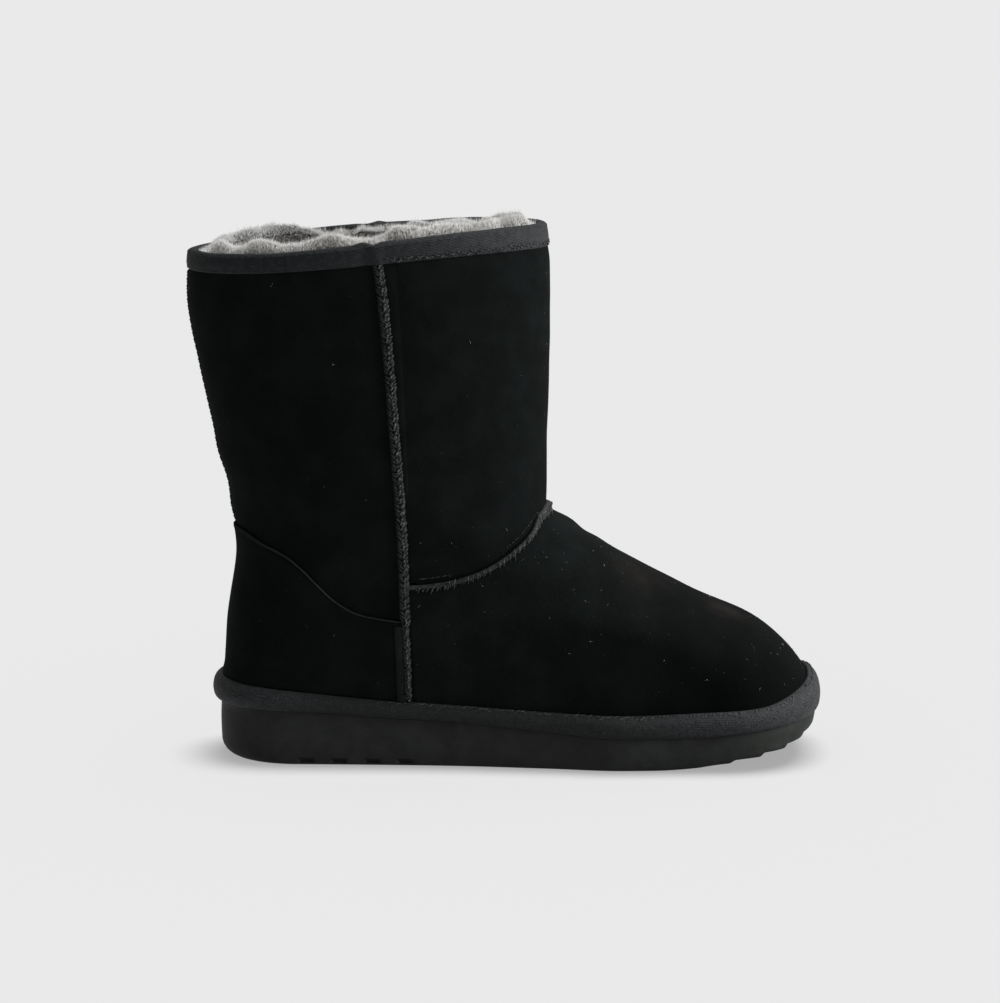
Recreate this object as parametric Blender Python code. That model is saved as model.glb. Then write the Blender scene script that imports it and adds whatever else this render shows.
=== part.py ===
"""A mid-calf sheepskin boot for the right foot, as the solids that a maker joins.

The toe points along +X, the outer side of the foot faces -Y and the tread stands on Z = 0.
Every piece is worked out from one last: level sections through foot and shaft, drawn from the
length, ball width, instep height and heel height below. On the last, X runs from the heel point
(0) to the toe point (LENGTH). All lengths are millimetres until a mesh is made.
"""
import math
from collections import namedtuple

import bmesh
import bpy
import numpy as np

MILLIMETRE = 0.001

# Driving sizes
LENGTH = 260.4           # heel point to toe point, along the feather line where upper meets rand
BALL_WIDTH = 93.0        # across the feather line at the ball of the foot
HEEL_HEIGHT = 24.6       # floor to the top of the outsole under the heel
INSTEP_HEIGHT = 107.5    # floor to the top of the vamp, in front of the shaft
SHAFT_HEIGHT = 232.4     # floor to the rim, at the side seam
SHAFT_WIDTH = 84.0       # across the shaft at the rim
WALL = 10.0              # suede and its deep wool together
GAP = 0.3                # clearance between pieces that touch

FEATHER_HEIGHT = 31.0    # level at which the sections of the upper start
TOE_SPRING = 11.5        # rise of the tread at the toe point
SPRING_START = 0.73      # share of LENGTH at which the tread leaves the floor
SPRING_POWER = 1.8
TOE_SWING = 4.0          # how far the toe point lies towards the inner side
SWING_START = 0.4        # share of LENGTH at which the foot's axis starts to bend
BLUNTNESS = 0.5          # how much squarer than an ellipse the ends of the foot close
RIM_FALL = 7.0           # rim at the back, below SHAFT_HEIGHT
RIM_CLIMB = 6.0          # rim at the front, above SHAFT_HEIGHT
RIM_BACK, RIM_FRONT = -20.0, 140.0     # X between which the rim climbs
RIM_LEAN = 2.4           # how much lower the rim is on the inner side, towards the front
LEAN_BACK, LEAN_FRONT = 40.0, 100.0    # X between which that lean starts
RIM_FADE_START = 1.1     # rise above which levels start to tilt with the rim
FEATHER_FADE_END = 0.4   # rise below which levels follow the feather line

# Shape of the foot in plan and of the sole from the side. `along` is a share of LENGTH, `outer`
# and `inner` are shares of BALL_WIDTH from the foot's axis, before heel and toe are rounded off.
# `ledge`, the outsole's top, and `feather`, the rand's top, are shares of HEEL_HEIGHT.
Station = namedtuple("Station", "along outer inner ledge feather")
STATIONS = (
    Station(along=0.00, outer=0.335, inner=0.335, ledge=1.01, feather=1.46),
    Station(along=0.14, outer=0.345, inner=0.330, ledge=0.98, feather=1.32),
    Station(along=0.27, outer=0.360, inner=0.315, ledge=0.89, feather=1.19),
    Station(along=0.40, outer=0.385, inner=0.312, ledge=0.82, feather=1.11),
    Station(along=0.55, outer=0.445, inner=0.395, ledge=0.69, feather=1.03),
    Station(along=0.68, outer=0.505, inner=0.475, ledge=0.60, feather=1.00),
    Station(along=0.80, outer=0.500, inner=0.490, ledge=0.62, feather=1.04),
    Station(along=0.91, outer=0.500, inner=0.505, ledge=0.72, feather=1.10),
    Station(along=1.00, outer=0.510, inner=0.515, ledge=0.83, feather=1.36),
)

# Level sections of the upper. `rise` is 0 at the feather line, 1 at the instep and 2 at the rim.
# `heel`, `seam` and `toe` are the X of the back, the side seams and the front, as shares of
# LENGTH. `girth` is the half width of the leg as a share of SHAFT_WIDTH, `foot` is how much of
# the width still comes from the plan of the foot, and `heel_round` and `toe_round` are the
# lengths over which a section closes at its ends, as shares of LENGTH.
Section = namedtuple("Section", "rise heel seam toe girth foot heel_round toe_round")
SECTIONS = (
    Section(0.00, heel=0.000, seam=0.315, toe=1.000, girth=0.43, foot=1.00, heel_round=0.13, toe_round=0.15),
    Section(0.10, heel=0.004, seam=0.314, toe=0.986, girth=0.43, foot=1.00, heel_round=0.13, toe_round=0.16),
    Section(0.20, heel=0.006, seam=0.313, toe=0.965, girth=0.43, foot=0.97, heel_round=0.13, toe_round=0.18),
    Section(0.35, heel=0.009, seam=0.311, toe=0.912, girth=0.43, foot=0.85, heel_round=0.14, toe_round=0.24),
    Section(0.53, heel=0.016, seam=0.309, toe=0.804, girth=0.44, foot=0.57, heel_round=0.16, toe_round=0.33),
    Section(0.80, heel=0.026, seam=0.307, toe=0.656, girth=0.45, foot=0.18, heel_round=0.19, toe_round=0.31),
    Section(0.94, heel=0.023, seam=0.305, toe=0.596, girth=0.46, foot=0.05, heel_round=0.22, toe_round=0.27),
    Section(1.00, heel=0.019, seam=0.304, toe=0.562, girth=0.46, foot=0.02, heel_round=0.23, toe_round=0.25),
    Section(1.04, heel=0.014, seam=0.303, toe=0.547, girth=0.46, foot=0.00, heel_round=0.24, toe_round=0.25),
    Section(1.16, heel=0.000, seam=0.299, toe=0.549, girth=0.465, foot=0.00, heel_round=0.25, toe_round=0.25),
    Section(1.33, heel=-0.016, seam=0.293, toe=0.552, girth=0.475, foot=0.00, heel_round=0.26, toe_round=0.26),
    Section(1.60, heel=-0.041, seam=0.283, toe=0.554, girth=0.485, foot=0.00, heel_round=0.28, toe_round=0.27),
    Section(1.86, heel=-0.057, seam=0.271, toe=0.554, girth=0.495, foot=0.00, heel_round=0.29, toe_round=0.28),
    Section(2.00, heel=-0.053, seam=0.260, toe=0.545, girth=0.490, foot=0.00, heel_round=0.29, toe_round=0.28),
)

# Outsole, rand, overlays and footbed
OUTSOLE_MARGIN = 2.6     # outsole wall outside the feather line
TREAD_EDGE = 2.0         # rounding of the tread's edge along the sides
HEEL_EDGE = 7.0          # rounding of the tread's edge behind the heel
HEEL_EDGE_END = 0.12     # share of LENGTH over which the heel's rounding fades
GROOVE_DEPTH = 2.0
HEEL_GROOVES = dict(first=34.2, pitch=15.5, count=4, width=7.0)
TOE_GROOVES = dict(first=216.0, pitch=9.0, count=5, width=3.0)
RAND_BULGE = 5.6         # how far the rand stands outside the feather line
COUNTER_THICKNESS = 1.1
COUNTER_GAP = 0.45       # between the overlay and the upper, whose facets differ
COUNTER_TOP, COUNTER_LOW = 0.905, 0.447    # rise of its edge at the back and at the side seams
DROP_START, DROP_END = 0.31, 0.95          # turn from the back over which its edge drops
BINDING_THICKNESS = 1.2
BINDING_DEPTH_BACK, BINDING_DEPTH_FRONT = 8.3, 9.9    # how far the collar binding comes down
BINDING_LIP = 3.5        # how far it reaches over the wall's top edge
INSOLE_THICKNESS = 8.0

# Rings have a point on each seam and at heel and toe
HEEL_COLUMNS = 12        # steps from the heel point to a side seam
TOE_COLUMNS = 15         # steps from a side seam to the toe point


# ---------------------------------------------------------------- reading the tables

def smooth_line(knots, values, at):
    """Read between table rows along a smooth line that never overshoots a row."""
    knots = np.asarray(knots, dtype=float)
    values = np.asarray(values, dtype=float)
    at = np.clip(at, knots[0], knots[-1])
    steps = np.diff(knots)
    slopes = np.diff(values) / steps
    agree = slopes[:-1] * slopes[1:] > 0.0
    total = np.where(agree, slopes[:-1] + slopes[1:], 1.0)
    inner = np.where(agree, 2.0 * slopes[:-1] * slopes[1:] / total, 0.0)
    tangents = np.concatenate(([slopes[0]], inner, [slopes[-1]]))
    row = np.clip(np.searchsorted(knots, at, side="right") - 1, 0, len(steps) - 1)
    step = steps[row]
    t = (at - knots[row]) / step
    from_row = (1.0 + 2.0 * t) * (1.0 - t) ** 2 * values[row] + t * (1.0 - t) ** 2 * step * tangents[row]
    to_next = t * t * (3.0 - 2.0 * t) * values[row + 1] + t * t * (t - 1.0) * step * tangents[row + 1]
    return from_row + to_next


def station(column, x):
    """Read a column of STATIONS at a distance x from the heel point."""
    along = [row.along for row in STATIONS]
    return smooth_line(along, [getattr(row, column) for row in STATIONS], np.asarray(x) / LENGTH)


def section(column, rise):
    """Read a column of SECTIONS at a level."""
    rises = [row.rise for row in SECTIONS]
    return smooth_line(rises, [getattr(row, column) for row in SECTIONS], rise)


def ease(t):
    """Go from 0 to 1 with a level start and end."""
    t = np.clip(t, 0.0, 1.0)
    return t * t * (3.0 - 2.0 * t)


# ---------------------------------------------------------------- the last

def tread_height(x):
    """Bottom of the outsole: flat on the floor, then the toe spring."""
    start = SPRING_START * LENGTH
    return TOE_SPRING * np.clip((np.asarray(x) - start) / (LENGTH - start), 0.0, 1.1) ** SPRING_POWER


def ledge_height(x):
    return HEEL_HEIGHT * station("ledge", x)


def feather_height(x):
    return HEEL_HEIGHT * station("feather", x)


def axis_side(x):
    """Y of the foot's axis, which bends to the inner side towards the toe."""
    start = SWING_START * LENGTH
    return TOE_SWING * np.clip((x - start) / (LENGTH - start), 0.0, 1.1) ** 2


def half_width(x, rise, inner_side):
    """Half width of a level section: a side wall closed at each end by a quarter of an ellipse.

    Down at the foot these quarters are squarer than an ellipse by BLUNTNESS.
    """
    heel = section("heel", rise) * LENGTH
    toe = section("toe", rise) * LENGTH
    plan = np.where(inner_side, station("inner", x), station("outer", x)) * BALL_WIDTH
    foot = section("foot", rise)
    side = foot * plan + (1.0 - foot) * section("girth", rise) * SHAFT_WIDTH
    from_heel = np.clip((x - heel) / (section("heel_round", rise) * LENGTH), 0.0, 1.0)
    from_toe = np.clip((toe - x) / (section("toe_round", rise) * LENGTH), 0.0, 1.0)
    power = 2.0 + BLUNTNESS * foot
    closing = (1.0 - (1.0 - from_heel) ** power) * (1.0 - (1.0 - from_toe) ** power)
    return side * closing ** (1.0 / power)


def rim_tilt(x, y):
    """How far the rim lies above SHAFT_HEIGHT: it climbs to the front and leans inwards there."""
    climb = ease((x - RIM_BACK) / (RIM_FRONT - RIM_BACK)) * (RIM_FALL + RIM_CLIMB) - RIM_FALL
    lean = ease((x - LEAN_BACK) / (LEAN_FRONT - LEAN_BACK)) * RIM_LEAN
    return climb - lean * (0.5 + y / SHAFT_WIDTH)


def height(x, y, rise):
    """Height of a level, which bends to the feather line below and to the rim above."""
    foot = FEATHER_HEIGHT + np.clip(rise, 0.0, 1.0) * (INSTEP_HEIGHT - FEATHER_HEIGHT)
    leg = np.clip(rise - 1.0, 0.0, 1.0) * (SHAFT_HEIGHT - INSTEP_HEIGHT)
    to_feather = np.clip(1.0 - rise / FEATHER_FADE_END, 0.0, 1.0) ** 2
    to_rim = ease((rise - RIM_FADE_START) / (2.0 - RIM_FADE_START))
    level = foot + leg + to_feather * (feather_height(x) - FEATHER_HEIGHT) + to_rim * rim_tilt(x, y)
    down_to_ledge = np.clip(-rise, 0.0, 1.0) * (feather_height(x) - ledge_height(x) - GAP)
    return level - down_to_ledge


def shell_point(turn, rise):
    """Point on the outside of the upper.

    turn goes round the boot: 0 at the heel, 1 on the outer side seam, 2 at the toe, 3 on the
    inner side seam. rise is a level, and from 0 to -1 it runs down behind the rand to the outsole.
    """
    turn, rise = np.broadcast_arrays(np.asarray(turn, dtype=float), np.asarray(rise, dtype=float))
    inner_side = turn > 2.0
    quarter = np.where(inner_side, 4.0 - turn, turn)
    level = np.clip(rise, 0.0, 2.0)
    heel = section("heel", level) * LENGTH
    seam = section("seam", level) * LENGTH
    toe = section("toe", level) * LENGTH
    behind = heel + (seam - heel) * (1.0 - np.cos(np.clip(quarter, 0.0, 1.0) * math.pi / 2.0))
    ahead = toe - (toe - seam) * (1.0 - np.cos(np.clip(2.0 - quarter, 0.0, 1.0) * math.pi / 2.0))
    x = np.where(quarter <= 1.0, behind, ahead)
    side = np.where(inner_side, 1.0, -1.0)
    y = axis_side(x) + side * half_width(x, level, inner_side)
    return np.stack((x, y, height(x, y, rise)), axis=-1)


def outward(turn, rise):
    """Unit normal of the upper, level below the feather line and at the rim."""
    step = 0.01
    round_the_boot = shell_point((turn + step) % 4.0, rise) - shell_point((turn - step) % 4.0, rise)
    up = shell_point(turn, np.minimum(rise + step, 2.0)) - shell_point(turn, np.maximum(rise - step, -1.0))
    normal = np.cross(round_the_boot, up)
    flat = (np.asarray(rise) <= 0.0) | (np.asarray(rise) >= 2.0)
    normal[..., 2] = np.where(flat, 0.0, normal[..., 2])
    return normal / np.linalg.norm(normal, axis=-1, keepdims=True)


def off_shell(turn, rise, distance):
    """Point at a distance outside the upper, or inside it when the distance is negative."""
    turn, rise = np.broadcast_arrays(np.asarray(turn, dtype=float), np.asarray(rise, dtype=float))
    return shell_point(turn, rise) + outward(turn, rise) * np.asarray(distance)[..., None]


def binding_rise(turn):
    """Level of the collar binding's lower edge, deeper in front of the side seams."""
    ahead = ease(1.5 - np.abs(turn - 2.0))
    depth = BINDING_DEPTH_BACK + (BINDING_DEPTH_FRONT - BINDING_DEPTH_BACK) * ahead
    return 2.0 - depth / (SHAFT_HEIGHT - INSTEP_HEIGHT)


def ring_turns():
    """Turns of a ring's points, evenly stepped in each quarter of the boot."""
    back = np.linspace(0.0, 1.0, HEEL_COLUMNS, endpoint=False)
    front = 1.0 + np.linspace(0.0, 1.0, TOE_COLUMNS, endpoint=False)
    outer = np.concatenate((back, front))
    return np.concatenate((outer, [2.0], 4.0 - outer[:0:-1]))


# ---------------------------------------------------------------- making solids

def material(name, colour, roughness):
    made = bpy.data.materials.new(name)
    made.use_nodes = True
    shader = made.node_tree.nodes["Principled BSDF"]
    shader.inputs["Base Color"].default_value = (*colour, 1.0)
    shader.inputs["Roughness"].default_value = roughness
    shader.inputs["Metallic"].default_value = 0.0
    return made


def ladder(left, right):
    """Faces between two rails of vertices that may share their end points."""
    rungs = []
    for i in range(len(left) - 1):
        corners = (left[i], left[i + 1], right[i + 1], right[i])
        rungs.append(list(dict.fromkeys(corners)))
    return rungs


def loft(name, loops, finish, parent, ends="joined"):
    """Make a closed solid through closed loops of points.

    ends says how it closes: "joined" leads the last loop back to the first, "pointed" fills the
    end loops between their two sides from heel point to toe point, and "blunt" fills them
    between their first half and their second half.
    """
    loops = np.asarray(loops)
    count, width = loops.shape[:2]
    shape = bmesh.new()
    corners = [[shape.verts.new(point * MILLIMETRE) for point in loop] for loop in loops]
    spans = count if ends == "joined" else count - 1
    for i in range(spans):
        this, following = corners[i], corners[(i + 1) % count]
        for j in range(width):
            k = (j + 1) % width
            shape.faces.new((this[j], this[k], following[k], following[j]))
    if ends != "joined":
        half = width // 2
        for loop in (corners[0], corners[-1]):
            if ends == "pointed":
                rails = loop[:half + 1], [loop[0]] + loop[:half - 1:-1]
            else:
                rails = loop[:half], loop[:half - 1:-1]
            for face in ladder(*rails):
                shape.faces.new(face)
    bmesh.ops.recalc_face_normals(shape, faces=shape.faces)
    mesh = bpy.data.meshes.new(name)
    shape.to_mesh(mesh)
    shape.free()
    mesh.shade_smooth()
    mesh.set_sharp_from_angle(angle=math.radians(40.0))
    mesh.materials.append(finish)
    solid = bpy.data.objects.new(name, mesh)
    bpy.context.scene.collection.objects.link(solid)
    solid.parent = parent
    return solid


# ---------------------------------------------------------------- pieces

def make_upper(parent, finish):
    """Hollow suede and wool upper, open at the collar and over the footbed."""
    rises = np.concatenate((
        [-1.0, 0.0, 0.06, 0.12, 0.20, 0.28, 0.37, 0.46, 0.56, 0.66, 0.76, 0.86, 0.95],
        [1.00, 1.04, 1.12, 1.24, 1.38, 1.54, 1.70, 1.82],
    ))
    turns = ring_turns()
    levels = [np.full(len(turns), rise) for rise in rises]
    levels += [binding_rise(turns), np.full(len(turns), 2.0)]
    outside = [off_shell(turns, level, 0.0) for level in levels]
    inside = [off_shell(turns, level, -WALL) for level in levels]
    rim_drop = np.array([0.0, 0.0, BINDING_THICKNESS + GAP])
    outside[-1] = outside[-1] - rim_drop
    inside[-1] = inside[-1] - rim_drop
    return loft("upper", outside + inside[::-1], finish, parent)


def sole_ring(turns, margin, lift):
    """Ring round the feather line, moved out by margin and set at a height by lift(x)."""
    ring = off_shell(turns, 0.0, margin)
    ring[:, 2] = lift(shell_point(turns, 0.0)[:, 0])
    return ring


def make_outsole(parent, finish):
    """Foam wedge with a flat tread, rounded at its lower edge and sprung at the toe."""
    turns = ring_turns()

    def edge(x):
        behind = 1.0 - ease(x / (HEEL_EDGE_END * LENGTH))
        return TREAD_EDGE + (HEEL_EDGE - TREAD_EDGE) * behind

    radius = edge(shell_point(turns, 0.0)[:, 0])
    loops = [sole_ring(turns, OUTSOLE_MARGIN, ledge_height)]
    for angle in np.radians((0.0, 30.0, 60.0, 90.0)):
        inset = radius * (1.0 - math.cos(angle))
        drop = 1.0 - math.sin(angle)
        loops.append(sole_ring(turns, OUTSOLE_MARGIN - inset, lambda x: tread_height(x) + edge(x) * drop))
    return loft("outsole", loops, finish, parent, ends="pointed")


def groove_tool(name, grooves, parent):
    """Bars across the tread, to be cut from the outsole."""
    shape = bmesh.new()
    for i in range(grooves["count"]):
        x = grooves["first"] + i * grooves["pitch"]
        bar = bmesh.ops.create_cube(shape, size=1.0)["verts"]
        size = np.array((grooves["width"], 2.0 * BALL_WIDTH, 2.0 * GROOVE_DEPTH)) * MILLIMETRE
        bmesh.ops.scale(shape, vec=size, verts=bar)
        bmesh.ops.translate(shape, vec=np.array((x, 0.0, tread_height(x))) * MILLIMETRE, verts=bar)
    mesh = bpy.data.meshes.new(name)
    shape.to_mesh(mesh)
    shape.free()
    tool = bpy.data.objects.new(name, mesh)
    bpy.context.scene.collection.objects.link(tool)
    tool.parent = parent
    tool.hide_render = True
    tool.display_type = "WIRE"
    return tool


def cut(solid, tool):
    carve = solid.modifiers.new(tool.name, "BOOLEAN")
    carve.operation = "DIFFERENCE"
    carve.solver = "EXACT"
    carve.object = tool


def make_rand(parent, finish):
    """Padded band round the foot: it lies on the outsole's ledge against the upper."""
    turns = ring_turns()
    # Outline of the band: distance out as a share of its bulge, height as a share of its depth
    profile = ((0.45, 0.00), (0.80, 0.16), (1.00, 0.45), (0.85, 0.75), (0.50, 0.94), (0.22, 1.00))
    against_upper = ((GAP, 1.0), (GAP, 0.0))

    def level(share):
        return lambda x: ledge_height(x) + GAP + (feather_height(x) - ledge_height(x) - GAP) * share

    loops = [sole_ring(turns, RAND_BULGE * out, level(up)) for out, up in profile]
    loops += [sole_ring(turns, out, level(up)) for out, up in against_upper]
    return loft("rand", loops, finish, parent)


def make_heel_counter(parent, finish):
    """Overlay round the heel, cut between two forms a little larger than the upper.

    Its top edge falls from the back of the heel to the side seams.
    """
    rows = 13
    quarter = np.linspace(0.0, 1.0, HEEL_COLUMNS + 1)
    turns = np.concatenate((4.0 - quarter[:0:-1], quarter))
    loops = []
    for turn in turns:
        kept = ease((DROP_END - min(turn, 4.0 - turn)) / (DROP_END - DROP_START))
        top = COUNTER_LOW + (COUNTER_TOP - COUNTER_LOW) * kept
        rises = np.linspace(0.0, top, rows)
        inner_face = off_shell(turn, rises, np.full(rows, COUNTER_GAP))
        outer_face = off_shell(turn, rises, np.full(rows, COUNTER_GAP + COUNTER_THICKNESS))
        inner_face[0, 2] += GAP
        outer_face[0, 2] = inner_face[0, 2]
        loops.append(np.concatenate((outer_face, inner_face[::-1])))
    return loft("heel_counter", loops, finish, parent, ends="blunt")


def make_collar_binding(parent, finish):
    """Tape folded over the rim, flat against the outside of the shaft."""
    turns = ring_turns()
    inner, outer = GAP, GAP + BINDING_THICKNESS
    soft_edge = 0.8
    # Outline of the tape: level, distance outside the shaft, drop below that level
    lower_edge = binding_rise(turns)
    profile = (
        (lower_edge, inner, 0.0), (lower_edge, outer, 0.0),
        (2.0, outer, soft_edge), (2.0, outer - soft_edge, 0.0), (2.0, -BINDING_LIP, 0.0),
        (2.0, -BINDING_LIP, BINDING_THICKNESS), (2.0, inner, BINDING_THICKNESS),
    )
    loops = []
    for rise, out, drop in profile:
        loop = off_shell(turns, rise, out)
        loop[:, 2] -= drop
        loops.append(loop)
    return loft("collar_binding", loops, finish, parent)


def make_insole(parent, finish):
    """Footbed on the outsole, inside the wool of the upper, with a soft top edge."""
    turns = ring_turns()
    inset = -(WALL + 2.0 * GAP)
    profile = ((0.0, 0.0), (0.0, 0.7), (1.5, 0.93), (4.0, 1.0))
    loops = []
    for inwards, share in profile:
        lift = GAP + INSOLE_THICKNESS * share
        loops.append(sole_ring(turns, inset - inwards, lambda x: ledge_height(x) + lift))
    return loft("insole", loops, finish, parent, ends="pointed")


def box_centre():
    """Middle of the boot's box in plan, between the binding and the rand."""
    turns = ring_turns()
    edges = np.concatenate((
        off_shell(turns, 2.0, GAP + BINDING_THICKNESS),
        sole_ring(turns, RAND_BULGE, feather_height),
    ))
    middle = (edges.min(axis=0) + edges.max(axis=0)) / 2.0
    return middle[0], middle[1], 0.0


def main():
    for old in list(bpy.data.objects):
        bpy.data.objects.remove(old, do_unlink=True)
    suede = material("suede", (0.012, 0.012, 0.013), 0.95)
    counter_suede = material("counter_suede", (0.012, 0.012, 0.013), 0.95)
    tape = material("rand_tape", (0.022, 0.022, 0.026), 0.85)
    collar_tape = material("collar_tape", (0.020, 0.020, 0.023), 0.85)
    foam = material("sole_foam", (0.022, 0.023, 0.023), 0.55)
    wool = material("wool", (0.42, 0.42, 0.43), 1.0)

    boot = bpy.data.objects.new("boot", None)
    boot.location = [-centre * MILLIMETRE for centre in box_centre()]
    bpy.context.scene.collection.objects.link(boot)

    outsole = make_outsole(boot, foam)
    cut(outsole, groove_tool("heel_grooves", HEEL_GROOVES, boot))
    cut(outsole, groove_tool("toe_grooves", TOE_GROOVES, boot))
    make_rand(boot, tape)
    make_upper(boot, suede)
    make_heel_counter(boot, counter_suede)
    make_collar_binding(boot, collar_tape)
    make_insole(boot, wool)


main()
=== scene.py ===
"""Looks of the mid-calf sheepskin boot: suede panels, seams, twill tapes, wool, foam sole and light.

Every surface is worked out from the last that the frame's pieces share: level sections through
foot and shaft. A place on it is a turn, which goes round the boot (0 heel, 1 outer side seam,
2 toe, 3 inner side seam), and a rise, which goes up it (0 feather line, 1 instep, 2 rim).
Lengths are millimetres on the last until a mesh is made.
"""
import math
from collections import namedtuple

import bpy
import numpy as np
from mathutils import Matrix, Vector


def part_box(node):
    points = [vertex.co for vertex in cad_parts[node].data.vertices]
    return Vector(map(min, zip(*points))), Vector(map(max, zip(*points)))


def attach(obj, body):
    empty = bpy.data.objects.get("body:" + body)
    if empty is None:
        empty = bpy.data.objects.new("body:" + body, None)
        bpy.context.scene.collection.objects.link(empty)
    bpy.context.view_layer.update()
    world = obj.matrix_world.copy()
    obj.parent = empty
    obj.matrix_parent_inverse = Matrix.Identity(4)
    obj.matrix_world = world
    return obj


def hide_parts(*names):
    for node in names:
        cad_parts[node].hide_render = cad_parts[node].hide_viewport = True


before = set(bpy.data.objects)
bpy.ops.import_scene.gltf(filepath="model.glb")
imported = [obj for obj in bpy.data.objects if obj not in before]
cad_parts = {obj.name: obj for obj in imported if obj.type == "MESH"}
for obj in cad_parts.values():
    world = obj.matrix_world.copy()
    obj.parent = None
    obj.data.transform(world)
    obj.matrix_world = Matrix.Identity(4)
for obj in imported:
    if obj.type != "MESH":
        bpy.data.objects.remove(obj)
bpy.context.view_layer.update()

MILLIMETRE = 0.001


def table(kind, columns, *rows):
    """A table: what a row is, the names of its columns, and the rows."""
    row_of = namedtuple(kind, columns)
    return tuple(row_of(*row) for row in rows)


# ---------------------------------------------------------------- sizes shared with the frame

LENGTH = 260.4
BALL_WIDTH = 93.0
HEEL_HEIGHT = 24.6
INSTEP_HEIGHT = 107.5
SHAFT_HEIGHT = 232.4
SHAFT_WIDTH = 84.0
WALL = 10.0
GAP = 0.3
FEATHER_HEIGHT = 31.0
TOE_SPRING = 11.5
SPRING_START = 0.73
SPRING_POWER = 1.8
TOE_SWING = 4.0
SWING_START = 0.4
BLUNTNESS = 0.5
RIM_FALL = 7.0
RIM_CLIMB = 6.0
RIM_BACK, RIM_FRONT = -20.0, 140.0
RIM_LEAN = 2.4
LEAN_BACK, LEAN_FRONT = 40.0, 100.0
RIM_FADE_START = 1.1
FEATHER_FADE_END = 0.4
OUTSOLE_MARGIN = 2.6
TREAD_EDGE = 2.0
HEEL_EDGE = 7.0
HEEL_EDGE_END = 0.12
RAND_BULGE = 5.6
COUNTER_THICKNESS = 1.1
COUNTER_GAP = 0.45
COUNTER_LIFT = COUNTER_GAP + COUNTER_THICKNESS
BINDING_THICKNESS = 1.2
BINDING_DEPTH_BACK, BINDING_DEPTH_FRONT = 8.3, 9.9
BINDING_LIP = 3.5
INSOLE_THICKNESS = 8.0

STATIONS = table(
    "Station", "along outer inner ledge feather",
    (0.00, 0.335, 0.335, 1.01, 1.46),
    (0.14, 0.345, 0.330, 0.98, 1.32),
    (0.27, 0.360, 0.315, 0.89, 1.19),
    (0.40, 0.385, 0.312, 0.82, 1.11),
    (0.55, 0.445, 0.395, 0.69, 1.03),
    (0.68, 0.505, 0.475, 0.60, 1.00),
    (0.80, 0.500, 0.490, 0.62, 1.04),
    (0.91, 0.500, 0.505, 0.72, 1.10),
    (1.00, 0.510, 0.515, 0.83, 1.36),
)
SECTIONS = table(
    "Section", "rise heel seam toe girth foot heel_round toe_round",
    (0.00, 0.000, 0.315, 1.000, 0.43, 1.00, 0.13, 0.15),
    (0.10, 0.004, 0.314, 0.986, 0.43, 1.00, 0.13, 0.16),
    (0.20, 0.006, 0.313, 0.965, 0.43, 0.97, 0.13, 0.18),
    (0.35, 0.009, 0.311, 0.912, 0.43, 0.85, 0.14, 0.24),
    (0.53, 0.016, 0.309, 0.804, 0.44, 0.57, 0.16, 0.33),
    (0.80, 0.026, 0.307, 0.656, 0.45, 0.18, 0.19, 0.31),
    (0.94, 0.023, 0.305, 0.596, 0.46, 0.05, 0.22, 0.27),
    (1.00, 0.019, 0.304, 0.562, 0.46, 0.02, 0.23, 0.25),
    (1.04, 0.014, 0.303, 0.547, 0.46, 0.00, 0.24, 0.25),
    (1.16, 0.000, 0.299, 0.549, 0.465, 0.00, 0.25, 0.25),
    (1.33, -0.016, 0.293, 0.552, 0.475, 0.00, 0.26, 0.26),
    (1.60, -0.041, 0.283, 0.554, 0.485, 0.00, 0.28, 0.27),
    (1.86, -0.057, 0.271, 0.554, 0.495, 0.00, 0.29, 0.28),
    (2.00, -0.053, 0.260, 0.545, 0.490, 0.00, 0.29, 0.28),
)

# ---------------------------------------------------------------- sizes of what is added here

SUEDE_THICKNESS = 1.4
SEAM_FRONT, SEAM_SIDE = 1.007, 0.657   # rise of the vamp seam in front and at the side seams
SEAM_DIP = 2.0                         # how long it stays low before it climbs to the front
PANEL_FOOT, PANEL_TOP = -0.02, 1.995   # rises where the suede ends, behind the rand and the binding
EDGE_ROLL = 2.2                        # width over which a panel's edge rolls under
RIDGE_HALF = 2.35                      # half width of a side seam's ridge
RIDGE_HEIGHT = 1.5
TAPE_WIDTH = 3.6                       # flat tape behind the seam, below the counter's edge
FACING_WIDTH = 6.6                     # flat facing ahead of the seam, widest at the collar
ROLL_RADIUS = 1.12                     # the rolled edge along the vamp seam
ROLL_DROP = 1.0                        # how far under the seam it lies
ROLL_LIP = 1.1                         # how much thicker the roll is in front
PILE = 8.0                             # length of the wool
FLEECE_END = 1.5                       # how far across the fleece runs, where 1 is the wall
FLEECE_DEPTH = 12.0                    # how far down the wall that is
FLUFF = 1.9                            # how far loose fibres stand off the collar's fleece
TOE_EDGE = 5.0                         # rounding of the tread's edge at the toe
TIP_RISE = 2.2                         # how much higher the rand reaches at the tip of the toe
COLLAR_TURN = 122.0                    # how far round the collar a turn goes, close to a side seam
STRAY = 0.3                            # how far a stitch's place, length and thickness stray, as a share
ZIGZAG_PITCH = 3.0                     # of the thread up the back
UPWARDS = np.array((0.0, 0.0, 1.0))

# The rand's outline: how far out it stands at a share of its height
RAND_SIDE = table(
    "Bulge", "up out",
    (-0.05, 0.47), (0.00, 0.62), (0.07, 0.80), (0.20, 0.93),
    (0.45, 1.00), (0.70, 0.92), (0.86, 0.72), (0.94, 0.52),
    (1.00, 0.24),
)

# The side seams: forwards is 1 where turn grows towards the toe and -1 where it falls
SIDES = table("Side", "label turn forwards", ("outer", 1.0, 1.0), ("inner", 3.0, -1.0))

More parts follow.
